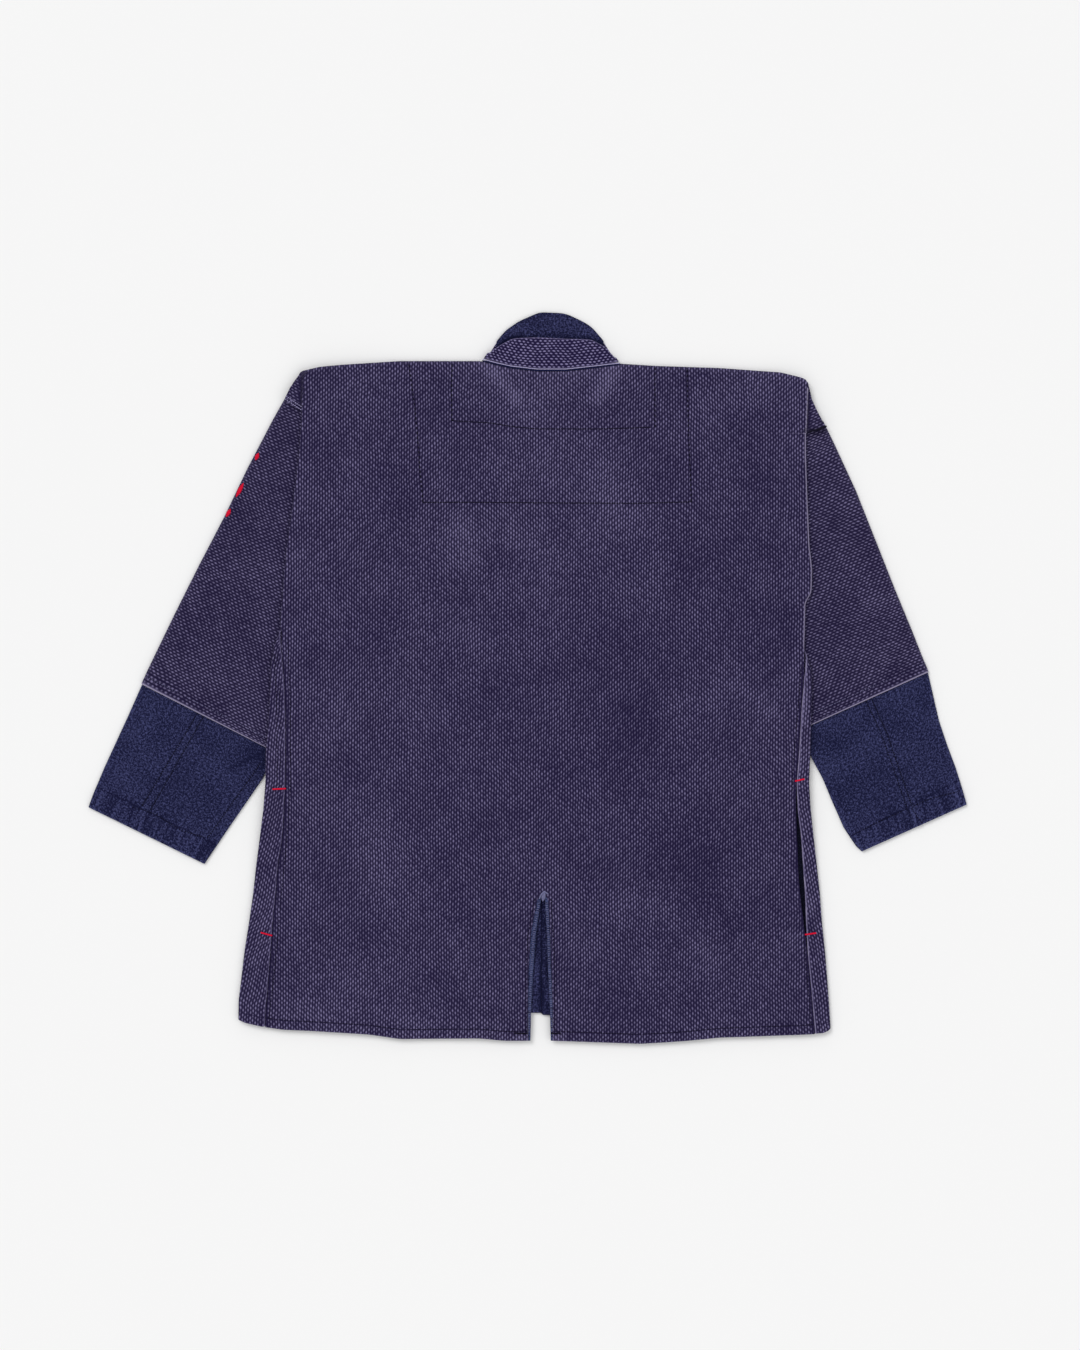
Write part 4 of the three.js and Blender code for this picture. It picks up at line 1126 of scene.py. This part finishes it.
class Surface(Nodes):
    """One cloth material."""

    def __init__(self, name, roughness, sheen):
        self.material = bpy.data.materials.new(name)
        self.material.use_nodes = True
        super().__init__(self.material.node_tree)
        self.tree.nodes.clear()
        self.shader = self.node("ShaderNodeBsdfPrincipled", None, {
            "Roughness": roughness, "Sheen Weight": sheen, "Sheen Roughness": 0.5,
            "Specular IOR Level": 0.08})
        output = self.node("ShaderNodeOutputMaterial")
        self.tree.links.new(self.shader.outputs[0], output.inputs[0])

    def plan(self):
        """The piece's own cloth coordinates in millimetres."""
        vector = self.add("ShaderNodeUVMap", {"uv_map": "cloth"})
        parts = self.node("ShaderNodeSeparateXYZ", None, {0: vector})
        return Field(self, parts.outputs[0]), Field(self, parts.outputs[1])

    def point(self, x, y, z=0.0):
        return self.add("ShaderNodeCombineXYZ", None, {0: x, 1: y, 2: z})

    def attribute(self, name):
        return self.add("ShaderNodeAttribute", {"attribute_name": name}, output=2)

    def noise(self, vector, scale, detail=2.0):
        return self.add("ShaderNodeTexNoise", {"noise_dimensions": "3D"},
                        {"Vector": vector, "Scale": scale, "Detail": detail, "Roughness": 0.55})

    def random(self, vector):
        return self.add("ShaderNodeTexWhiteNoise", {"noise_dimensions": "3D"}, {"Vector": vector})

    def sewn_hem(self, depth):
        """Dark sewn line at a depth from the edge, and soft ribs between it and the edge."""
        edge = self.attribute("edge")
        run = self.attribute("run")
        line = 1.0 - (edge - depth).size().ramp(0.3, 1.5)
        dashes = self.noise(self.point(run, 0.0), 0.45, 1.0).ramp(0.3, 0.6)
        ribs = self.noise(self.point(run, edge * 0.07, 2.0), 0.3) - 0.5
        below = 1.0 - edge.ramp(depth + 0.5, depth + 7.0)
        return line * (0.45 + dashes * 0.55), ribs * below

    def blend(self, first, second, share):
        """Mixes two colours."""
        inputs = {0: share, 6: first, 7: second}
        return self.add("ShaderNodeMix", {"data_type": "RGBA"}, inputs, output=2)

    def finish(self, colour, height, distance, strength):
        self.tree.links.new(colour.socket, self.shader.inputs["Base Color"])
        bump = self.add("ShaderNodeBump", None,
                        {"Height": height, "Distance": distance, "Strength": strength})
        self.tree.links.new(bump.socket, self.shader.inputs["Normal"])
        return self.material


def opaque(colour):
    return (*colour, 1.0)


def rice_grain_material(settings, name, hem_depth, tone, contrast):
    """Washed indigo cotton woven with raised rice-grain floats in brick order."""
    surface = Surface(name, 0.92, 0.03)
    u, v = surface.plan()
    wander = surface.noise(surface.point(u, v), 0.035)
    drift = surface.noise(surface.point(v, u), 0.05)
    across = (u + (wander - 0.5) * COLUMN_STRAY) / settings.weave_columns
    column = across.floor()
    side = across - column - 0.5
    shift = (column * 0.5).fraction()
    along = (v + (drift - 0.5) * ROW_STRAY) / settings.weave_repeat + shift
    step = along.floor()
    chance = surface.random(surface.point(column, step))
    end = along - step - 0.5 + (chance - 0.5) * 0.16
    lean = (surface.noise(surface.point(u, v, 11.0), 0.012) - 0.5) * 2.2 + 0.06
    reach = ((side / GRAIN_WIDTH) ** 2.0 + ((end - side * lean) / GRAIN_LENGTH) ** 2.0).root()
    stripe = 1.0 - side.size().ramp(0.15, 0.5)
    grain = (1.0 - reach.ramp(0.25, 1.08)) * 0.74 + stripe * 0.26
    fibre = surface.noise(surface.point(u, v * 0.35), 2.6, 3.0)
    fade = surface.attribute("fade")
    wear = surface.attribute("wear")
    cloud = surface.noise(surface.point(u, v, 7.0), 0.016, 3.0)
    sewn, ribs = surface.sewn_hem(hem_depth)
    seam = surface.attribute("seam")
    pulled = (surface.noise(surface.point(v, seam * 0.1, 4.0), 0.22) - 0.5) * (1.0 - seam.ramp(3.0, 11.0))
    wash = fade * 0.34 + (cloud - 0.5) * 0.5 + ribs + pulled * 1.2
    bright = grain * (0.68 + chance * 0.48) + (fibre - 0.5) * 0.4
    washed = bright * (0.9 + wash * 0.85) * contrast + wash * 0.16
    woven = (washed + 0.45 * (1.0 - contrast)).ramp(-0.02, 1.14)
    crisp = 1.0 - surface.attribute("crease").size().ramp(0.2, 1.0)
    worn = (wear + crisp * 0.9).ramp(0.1, 1.1)
    # Darker at the sewn line, and darker where negative wear carries painted shade.
    sunk_and_shaded = (sewn * 0.8 - wear).ramp(0.05, 0.9)
    share = (woven + worn * (0.80 - woven) * 0.75) ** 1.06 * (1.0 - sunk_and_shaded * 0.85)
    dark = opaque([value * tone for value in settings.indigo_dark])
    light = opaque([value * tone for value in settings.indigo_light])
    rubbed = crisp * 0.75 + (wear - 0.85).ramp(0.0, 0.8) * 0.9
    colour = surface.blend(surface.blend(dark, light, share), opaque(settings.rubbed_edge), rubbed)
    height = grain * 0.8 + (fibre - 0.5) * 0.25 + ribs * 1.2 + pulled * 0.8 - sewn * 0.5
    return surface.finish(colour, height, 0.0010, 0.7)


def twill_material(name, dark, light):
    """Dark blue twill with fine slanted lines, slubs and worn seams."""
    surface = Surface(name, 0.88, 0.02)
    u, v = surface.plan()
    lines = ((u + v * 0.75) / 0.85).fraction()
    ridge = (lines - 0.5).size().ramp(0.08, 0.42)
    slub = surface.noise(surface.point(u * 0.55, v), 0.72, 2.0)
    weft = surface.noise(surface.point(u, v * 0.5, 3.0), 0.66, 2.0)
    cloud = surface.noise(surface.point(u, v, 5.0), 0.03, 3.0)
    fade = surface.attribute("fade")
    wear = surface.attribute("wear")
    sewn, ribs = surface.sewn_hem(DENIM_HEM_DEPTH)
    # Negative wear carries painted shade into this share.
    share = (0.33 + (slub - 0.5) * 2.5 + (weft - 0.5) * 2.3 + (cloud - 0.5) * 0.5 + ridge * 0.08
             + fade * 0.2 + wear * 0.5 + ribs * 1.5 - sewn * 0.4).ramp(0.0, 1.25)
    colour = surface.blend(opaque(dark), opaque(light), share)
    height = ridge * 0.3 + slub * 0.5 + weft * 0.4 + ribs * 2.6 - sewn * 0.6
    return surface.finish(colour, height, 0.0006, 0.5)


def thread_material(name, colour):
    """Twisted sewing thread."""
    surface = Surface(name, 0.75, 0.02)
    place = surface.node("ShaderNodeTexCoord")
    position = Field(surface, place.outputs["Object"])
    ply = surface.noise(position, 900.0, 2.0)
    darker = opaque([value * 0.6 for value in colour])
    tint = surface.blend(darker, opaque(colour), ply.ramp(0.2, 0.8))
    return surface.finish(tint, ply, 0.0002, 0.3)


class Stitcher(Nodes):
    """Geometry Nodes tree that sews stitches along a drawn line."""

    INPUTS = (("Pitch", 0.003), ("Length", 0.002), ("Radius", 0.0003), ("Across", 0.0), ("Taper", 0.0))

    def __init__(self):
        tree = bpy.data.node_groups.new("sewn line", "GeometryNodeTree")
        super().__init__(tree)
        tree.interface.new_socket("Geometry", in_out="INPUT", socket_type="NodeSocketGeometry")
        for name, value in self.INPUTS:
            socket = tree.interface.new_socket(name, in_out="INPUT", socket_type="NodeSocketFloat")
            socket.default_value = value
        tree.interface.new_socket("Thread", in_out="INPUT", socket_type="NodeSocketMaterial")
        tree.interface.new_socket("Geometry", in_out="OUTPUT", socket_type="NodeSocketGeometry")
        given = self.node("NodeGroupInput")
        values = {socket.name: Field(self, socket) for socket in given.outputs if socket.name}
        line = self.add("GeometryNodeMeshToCurve", None, {"Mesh": values["Geometry"]})
        points = self.add("GeometryNodeResampleCurve", {"mode": "LENGTH"},
                          {"Curve": line, "Length": values["Pitch"]})
        tangent = self.add("GeometryNodeInputTangent")
        sideways = self.add("ShaderNodeVectorMath", {"operation": "CROSS_PRODUCT"},
                            {0: tangent, 1: (0.0, 0.0, 1.0)})
        heading = self.add("ShaderNodeMix", {"data_type": "VECTOR"},
                           {0: values["Across"], 4: tangent, 5: sideways}, output=1)
        turn = self.add("FunctionNodeAlignRotationToVector", {"axis": "X"}, {"Vector": heading})
        place = self.add("GeometryNodeSplineParameter")
        narrow = (place - 0.5).size() * 2.0
        size = 1.0 - (narrow ** 2.0) * values["Taper"]
        half = values["Length"] * 0.5 * size
        scale = self.add("ShaderNodeCombineXYZ", None, {0: half, 1: values["Radius"], 2: values["Radius"]})
        bead = self.add("GeometryNodeMeshUVSphere", None, {"Segments": 6, "Rings": 5, "Radius": 1.0})
        sewn = self.add("GeometryNodeInstanceOnPoints", None,
                        {"Points": points, "Instance": bead, "Rotation": turn, "Scale": scale})
        real = self.add("GeometryNodeRealizeInstances", None, {"Geometry": sewn})
        round_off = self.add("GeometryNodeSetShadeSmooth", None, {"Geometry": real})
        coloured = self.add("GeometryNodeSetMaterial", None,
                            {"Geometry": round_off, "Material": values["Thread"]})
        self.node("NodeGroupOutput", None, {"Geometry": coloured})

    def sew(self, name, lines, thread, pitch, length, radius, across=0.0, taper=0.0):
        """Stitches along lines of points in millimetres, as a plain mesh."""
        vertices = np.concatenate(lines) * MILLIMETRE
        edges = []
        start = 0
        for line in lines:
            edges += [(start + i, start + i + 1) for i in range(len(line) - 1)]
            start += len(line)
        mesh = bpy.data.meshes.new(name)
        mesh.from_pydata(vertices.tolist(), edges, [])
        piece = bpy.data.objects.new(name, mesh)
        bpy.context.collection.objects.link(piece)
        modifier = piece.modifiers.new("sewn line", "NODES")
        modifier.node_group = self.tree
        wanted = {"Pitch": pitch * MILLIMETRE, "Length": length * MILLIMETRE, "Radius": radius * MILLIMETRE,
                  "Across": across, "Taper": taper, "Thread": thread}
        for item in self.tree.interface.items_tree:
            if item.in_out == "INPUT" and item.name in wanted:
                modifier[item.identifier] = wanted[item.name]
        view = bpy.context.evaluated_depsgraph_get()
        made = bpy.data.meshes.new_from_object(piece.evaluated_get(view), depsgraph=view)
        piece.modifiers.clear()
        piece.data = made
        return piece


def line_points(points, step=3.0):
    """Points along straight runs between draft points, as x and y in millimetres."""
    corners = np.array([(to_x(column), to_y(row)) for column, row in points])
    run = run_along(corners)
    at = np.linspace(0, run[-1], max(int(run[-1] / step), 2))
    return np.interp(at, run, corners[:, 0]), np.interp(at, run, corners[:, 1])


def on_back(points, raise_by=0.1):
    """Line lying on the back panel's upper face."""
    x, y = line_points(points)
    return np.stack((x, y, back_level(x, y) + BODY_CLOTH / 2 + raise_by), axis=-1)


def on_sleeve(points, raise_by=0.1):
    """Line lying on a sleeve's upper face."""
    x, y = line_points(points)
    return np.stack((x, y, SLEEVE_HIGH + sleeve_relief(x, y) + SLEEVE_CLOTH / 2 + raise_by), axis=-1)


def on_cuff(points, raise_by=0.1):
    """Line lying level above a lower sleeve's upper face."""
    x, y = line_points(points)
    level = CUFF_HIGH + 0.9 + DENIM_CLOTH / 2 + raise_by
    return np.stack((x, y, level + 0 * x), axis=-1)


def hem_run(first, last):
    """Draft points of the stitched line beside the hem."""
    columns = np.linspace(first, last, 24)
    return list(zip(columns, HEM_LINE.read("column", columns, "row") - HEM_STITCH_INSET))


def binding_run(side):
    """Draft points up the middle of one vent binding."""
    rows = np.linspace(1031, 903, 30)
    middle = (VENT.read("row", rows, side) + VENT.read("row", rows, f"{side}_in")) / 2
    return list(zip(middle, rows))


# Sewn lines: what they lie on, their thread, the stitches' sizes and height, and the draft points.
SEWN_COLUMNS = (
    "name", "ground", "thread", "pitch", "length", "radius", "raise_by", "across", "taper", "lines")
SEWN = (
    ("level_stitches", on_back, "dark", 2.7, 2.6, 0.7, 0.1, 0.0, 0.0, (
        ((453, 421), (490, 423), (515, 427), (537, 429), (600, 429), (650, 427.5)),
        ((424, 502.5), (470, 502.5), (560, 503), (640, 503.5), (691, 502)),
    )),
    ("upright_stitches", on_back, "dark", 5.5, 3.9, 0.85, 0.1, 0.0, 0.0, (
        ((452, 366), (451.5, 400), (452, 420)),
        ((655, 426), (655, 400), (655, 369)),
        ((409, 366), (414, 400), (418, 440), (420, 470), (423, 501)),
        ((691, 500), (690, 470), (688, 420), (687, 371)),
    )),
    ("hem_stitches", on_back, "dark", 3.2, 2.6, 0.42, 0.1, 0.0, 0.0, (
        hem_run(268, 526),
        hem_run(556, 812),
    )),
    ("seam_stitches", on_back, "dark", 3.2, 2.6, 0.45, 0.1, 0.0, 0.0, (
        ((288, 640), (290.5, 700), (291, 779), (290, 800), (287, 840), (282, 890), (278, 935), (273, 985),
         (269, 1018)),
        ((801, 668), (797.5, 714), (793, 760), (792, 790)),
        ((803.5, 942), (807, 975), (811, 1024)),
        ((526, 1030), (526, 970), (528, 935), (534.5, 900)),
        ((555, 1030), (555, 970), (553, 933), (551, 900)),
    )),
    ("hem_bars", on_back, "dark", 1.0, 2.0, 0.95, 1.1, 0.0, 0.0, (
        ((515, 1033), (527, 1033.3)),
        ((551.5, 1033.3), (560, 1033)),
    )),
    ("binding_stitches", on_back, "faded", 2.5, 3.4, 0.34, 0.55, 1.0, 0.0, (
        binding_run("left"),
        binding_run("right"),
    )),
    ("strip_stitches", on_back, "dark", 3.2, 2.4, 0.42, 0.1, 0.0, 0.0, (
        ((274.5, 655), (277, 700), (277.5, 785)),
        ((277.7, 655), (280.2, 700), (280.7, 785)),
    )),
    # Thick dark stitches at the right armhole: the seam's thread together with painted shadow along the
    # cap's step.
    ("armhole_stitches", on_back, "dark", 1.0, 2.4, 1.3, 1.4 - CAP_DROP, 0.0, 0.0, (
        ((810.4, 431.6), (818, 429.6), (825.6, 426.6)),
    )),
    ("armhole_topstitches", on_back, "pale", 2.4, 2.2, 0.42, 0.4 - CAP_DROP, 0.0, 0.0, (
        ((285.8, 399.4), (301, 409.8)),
        ((286.8, 396.6), (301.2, 406.6)),
    )),
    ("sleeve_hem_stitches", on_sleeve, "faded", 3.2, 2.0, 0.36, 0.1, 0.0, 0.0, (
        ((147, 677), (266, 737.5)),
        ((925, 663), (809, 715)),
    )),
    ("denim_stitches", on_cuff, "dark", 2.6, 2.08, 0.62, 0.15, 0.0, 0.0, (
        ((197, 714), (142.5, 805)),
        ((203, 717), (151, 809)),
        ((260, 764), (208, 837)),
        ((866.5, 702), (881, 733), (908.5, 812), (916, 825)),
        ((872.5, 701), (887, 733), (914, 812), (922, 823)),
    )),
    ("denim_hem_stitches", on_cuff, "dark", 3.4, 2.72, 0.44, 0.15, 0.0, 0.0, (
        ((133, 807), (155, 814), (180, 830), (203, 837)),
        ((855, 834), (870, 826), (900, 812), (929, 799), (960, 791)),
    )),
    ("bar_tacks", on_back, "red", 0.42, 2.3, 0.36, 0.5, 1.0, 0.0, (
        ((273, 789), (286, 788.5)),
        ((261, 932.5), (272, 935.5)),
        ((795, 781), (804, 779)),
        ((805, 934.5), (816, 933)),
    )),
    ("red_sleeve_stitches", on_sleeve, "red", 0.5, 6.0, 0.34, 0.35, 1.0, 0.9, (
        ((255.5, 460), (258.5, 453)),
        ((236, 497), (243.5, 483)),
        ((226, 517), (230.5, 509)),
    )),
    ("vent_web", on_back, "faded", 0.75, 6.5, 0.5, 0.4, 1.0, 0.8, (
        ((542.8, 901), (543.4, 897), (544.2, 891)),
    )),
    ("vent_tack", on_back, "faded", 1.0, 2.4, 1.0, 0.7, 0.0, 0.0, (
        ((539.6, 898), (541.4, 894), (544.3, 891.3), (547.6, 893.6)),
    )),
)


def tint(name, description, default):
    """Colour that a user can change."""
    return bpy.props.FloatVectorProperty(
        name=name, description=description, subtype="COLOR", default=default)


class JacketSettings(bpy.types.PropertyGroup):
    """Sizes and colours of the jacket."""

    grid_step: bpy.props.FloatProperty(
        name="Grid step", description="Spacing of the cloth's points", default=0.0044, unit="LENGTH")
    weave_columns: bpy.props.FloatProperty(
        name="Weave column pitch", description="Millimetres between columns of grains", default=3.0)
    weave_repeat: bpy.props.FloatProperty(
        name="Weave repeat", description="Millimetres between grains along a column", default=5.5)
    indigo_dark: tint("Indigo ground", "Dark ground of the rice-grain cloth", (0.0098, 0.0060, 0.034))
    indigo_light: tint("Indigo grain", "Washed grains of the rice-grain cloth", (0.186, 0.163, 0.305))
    rubbed_edge: tint("Rubbed edge", "Creases and edges rubbed pale", (0.29, 0.26, 0.385))
    denim_dark: tint("Denim dark", "Dark of the lower sleeves and bindings", (0.0050, 0.0057, 0.030))
    denim_light: tint("Denim light", "Worn tone of the lower sleeves", (0.059, 0.065, 0.171))
    binding_light: tint("Binding light", "Worn tone of the vent bindings", (0.062, 0.076, 0.180))
    navy_dark: tint("Navy dark", "Dark of the facings and pocket bags", (0.0046, 0.0052, 0.027))
    navy_light: tint("Navy light", "Worn tone of the facings and pocket bags", (0.062, 0.066, 0.176))
    thread_dark: tint("Dark thread", "Navy sewing thread", (0.005, 0.004, 0.014))
    thread_pale: tint("Pale thread", "Faded sewing thread and piping", (0.52, 0.48, 0.78))
    thread_faded: tint("Faded thread", "Sewing thread washed to a dull blue", (0.20, 0.20, 0.36))
    # Colour of the painted shadow line under the neck piping.
    thread_navy: tint("Navy thread", "Dark line painted as the shadow under the neck piping", (0.008, 0.010, 0.055))
    thread_red: tint("Red thread", "Bar tacks and sleeve stitches", (0.80, 0.006, 0.042))
    floor_tone: bpy.props.FloatProperty(
        name="Floor tone", description="Brightness of the pale floor", default=0.9)


# Rice-grain cloths: material name, hem depth, tone and contrast.
RICE_GRAINS = {
    "rice": ("rice_grain_cotton", HEM_DEPTH, 1.0, 1.0),
    "rice_sleeve": ("rice_grain_sleeve", SLEEVE_HEM_DEPTH, 0.93, 1.0),
    "rice_collar": ("rice_grain_collar", HEM_DEPTH, 1.2, 1.75),
}
# Twills: material name, dark colour and its share, light colour and its share.
TWILLS = {
    "denim": ("denim_twill", "denim_dark", 1.0, "denim_light", 1.0),
    "facing": ("navy_facing", "navy_dark", 1.0, "navy_light", 1.0),
    "binding": ("vent_binding", "denim_dark", 1.0, "binding_light", 1.0),
    # Pocket bags use the navy colours darkened far down, as painted shade inside the pocket opening.
    "pocket": ("pocket_cotton", "navy_dark", 0.25, "navy_light", 0.16),
}
MADE = {}


def make_cloth(settings, kind):
    """Material of a kind of cloth, or else of thread."""
    if kind in RICE_GRAINS:
        return rice_grain_material(settings, *RICE_GRAINS[kind])
    if kind in TWILLS:
        name, dark, dark_share, light, light_share = TWILLS[kind]
        return twill_material(name, [value * dark_share for value in getattr(settings, dark)],
                              [value * light_share for value in getattr(settings, light)])
    return thread_material(f"thread_{kind}", getattr(settings, f"thread_{kind}"))


def cloth_named(settings, kind):
    """Material of a kind, made once."""
    if kind not in MADE:
        MADE[kind] = make_cloth(settings, kind)
    return MADE[kind]


def place_piece(piece, node):
    """Hangs a cloth piece under the root empty and hides the CAD part that it replaces."""
    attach(piece, "root")
    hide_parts(node)


class JACKET_OT_body(bpy.types.Operator):
    """Build the back panel and both fronts"""

    bl_idname = "jacket.body"
    bl_label = "Body"

    def execute(self, context):
        settings = context.scene.jacket
        cloth = cloth_named(settings, "rice")
        back = build_back(settings, cloth)
        place_piece(back, "back_panel")
        for side in SIDES:
            front = build_front(settings, cloth, side)
            place_piece(front, f"front_{side}")
        return {"FINISHED"}


class JACKET_OT_sleeves(bpy.types.Operator):
    """Build the sleeves and the denim lower sleeves"""

    bl_idname = "jacket.sleeves"
    bl_label = "Sleeves"

    def execute(self, context):
        settings = context.scene.jacket
        for side in SIDES:
            sleeve = build_sleeve(settings, cloth_named(settings, "rice_sleeve"), side)
            place_piece(sleeve, f"sleeve_{side}")
            cuff = build_cuff(settings, cloth_named(settings, "denim"), side)
            place_piece(cuff, f"cuff_{side}")
        return {"FINISHED"}


class JACKET_OT_collar(bpy.types.Operator):
    """Build the stand collar, its facing, the neck piping and a dark line of painted shadow under the
    piping
    """

    bl_idname = "jacket.collar"
    bl_label = "Collar"

    def execute(self, context):
        settings = context.scene.jacket
        band = build_collar_band(cloth_named(settings, "rice_collar"))
        place_piece(band, "collar_band")
        facing = build_collar_facing(cloth_named(settings, "facing"))
        place_piece(facing, "collar_facing")
        stitcher = Stitcher()
        x, y = line_points(NECK_LINE, 2.0)
        level = COLLAR_BACK_LEVEL + BODY_CLOTH / 2 + lift_at(x, y) + 0.25
        piping = stitcher.sew("neck_piping", [np.stack((x, y, level), axis=-1)],
                              cloth_named(settings, "pale"), 0.9, 1.8, 0.52)
        # Painted shadow: a dark bead line just below the piping stands for the shade under the collar's
        # lower edge.
        seam = stitcher.sew("neck_seam", [np.stack((x, y - 1.7, level - 0.5), axis=-1)],
                            cloth_named(settings, "navy"), 1.0, 2.2, 0.88)
        for piece in (piping, seam):
            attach(piece, "root")
        return {"FINISHED"}


class JACKET_OT_facings(bpy.types.Operator):
    """Build the front facings, pocket bags and vent bindings"""

    bl_idname = "jacket.facings"
    bl_label = "Facings and pockets"

    def execute(self, context):
        settings = context.scene.jacket
        for side in SIDES:
            facing = build_front_facing(cloth_named(settings, "facing"), side)
            place_piece(facing, f"front_facing_{side}")
            pocket = build_pocket(cloth_named(settings, "pocket"), side)
            place_piece(pocket, f"pocket_bag_{side}")
            binding = build_binding(cloth_named(settings, "binding"), side)
            place_piece(binding, f"vent_binding_{side}")
        return {"FINISHED"}


class JACKET_OT_stitches(bpy.types.Operator):
    """Sew the topstitching, running stitches, bar tacks and red sleeve stitches"""

    bl_idname = "jacket.stitches"
    bl_label = "Stitches"

    def execute(self, context):
        settings = context.scene.jacket
        stitcher = Stitcher()
        for row in SEWN:
            sewn = dict(zip(SEWN_COLUMNS, row))
            lines = [sewn["ground"](line, sewn["raise_by"]) for line in sewn["lines"]]
            piece = stitcher.sew(sewn["name"], lines, cloth_named(settings, sewn["thread"]), sewn["pitch"],
                                 sewn["length"], sewn["radius"], sewn["across"], sewn["taper"])
            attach(piece, "root")
        return {"FINISHED"}


# Stage sizes and heights in metres, and each sun's place, angle and strength.
FLOOR_REACH = 6.0
FLOOR_LEVEL = -0.0004
CAMERA_HEIGHT = 6.0
JACKET_MIDDLE = 0.005
PICTURE_COLUMNS = 1080
PICTURE_ROWS = 1350
SKY_STRENGTH = 0.63
SUNS = (
    ("key", (-2.6, 3.0, 5.0), 0.55, 1.14),
    ("fill", (3.4, -1.6, 5.0), 0.9, 0.46),
)


class JACKET_OT_stage(bpy.types.Operator):
    """Set the pale floor, the soft light and the camera straight above"""

    bl_idname = "jacket.stage"
    bl_label = "Stage"

    def execute(self, context):
        settings = context.scene.jacket
        scene = context.scene
        mesh = bpy.data.meshes.new("floor")
        corners = [(x * FLOOR_REACH, y * FLOOR_REACH, FLOOR_LEVEL)
                   for x, y in ((-1, -1), (1, -1), (1, 1), (-1, 1))]
        mesh.from_pydata(corners, [], [(0, 1, 2, 3)])
        floor = bpy.data.objects.new("floor", mesh)
        context.collection.objects.link(floor)
        surface = Surface("floor_paper", 0.95, 0.0)
        place = surface.node("ShaderNodeTexCoord")
        grain = surface.noise(Field(surface, place.outputs["Object"]), 3.0)
        tone = settings.floor_tone
        colour = surface.blend(opaque([tone] * 3), opaque([tone * 0.992] * 3), grain)
        mesh.materials.append(surface.finish(colour, grain, 0.0001, 0.02))
        world = bpy.data.worlds.new("studio")
        scene.world = world
        world.use_nodes = True
        background = world.node_tree.nodes["Background"]
        background.inputs["Color"].default_value = (1.0, 1.0, 1.0, 1.0)
        background.inputs["Strength"].default_value = SKY_STRENGTH
        for name, location, angle, power in SUNS:
            light = bpy.data.lights.new(name, "SUN")
            light.angle = angle
            light.energy = power
            lamp = bpy.data.objects.new(name, light)
            lamp.location = location
            aim = math.atan2(location[1], location[0])
            tilt = math.atan2(math.hypot(location[0], location[1]), location[2])
            lamp.rotation_euler = (0.0, tilt, aim)
            context.collection.objects.link(lamp)
        camera = bpy.data.cameras.new("camera")
        camera.sensor_fit = "VERTICAL"
        camera.sensor_height = 36.0
        picture_height = PICTURE_ROWS * SQUARE * MILLIMETRE
        camera.lens = camera.sensor_height * CAMERA_HEIGHT / picture_height
        camera.clip_end = 20.0
        viewer = bpy.data.objects.new("camera", camera)
        middle_x = float(to_x(PICTURE_COLUMNS / 2)) * MILLIMETRE
        middle_y = float(to_y(PICTURE_ROWS / 2)) * MILLIMETRE
        viewer.location = (middle_x, middle_y, CAMERA_HEIGHT + JACKET_MIDDLE)
        context.collection.objects.link(viewer)
        scene.camera = viewer
        scene.view_settings.view_transform = "Standard"
        return {"FINISHED"}


class JACKET_PT_panel(bpy.types.Panel):
    """Buttons and sizes of the jacket"""

    bl_idname = "JACKET_PT_panel"
    bl_label = "Jacket"
    bl_space_type = "VIEW_3D"
    bl_region_type = "UI"
    bl_category = "Jacket"

    def draw(self, context):
        settings = context.scene.jacket
        for name in settings.__annotations__:
            self.layout.prop(settings, name)
        for operator in OPERATORS:
            self.layout.operator(operator.bl_idname)


OPERATORS = (JACKET_OT_body, JACKET_OT_sleeves, JACKET_OT_collar, JACKET_OT_facings, JACKET_OT_stitches,
             JACKET_OT_stage)
CLASSES = (JacketSettings, *OPERATORS, JACKET_PT_panel)


def register():
    for item in CLASSES:
        bpy.utils.register_class(item)
    bpy.types.Scene.jacket = bpy.props.PointerProperty(type=JacketSettings)


def unregister():
    del bpy.types.Scene.jacket
    for item in reversed(CLASSES):
        bpy.utils.unregister_class(item)


def main():
    register()
    bpy.ops.jacket.body()
    bpy.ops.jacket.sleeves()
    bpy.ops.jacket.collar()
    bpy.ops.jacket.facings()
    bpy.ops.jacket.stitches()
    bpy.ops.jacket.stage()


if __name__ == "__main__":
    main()
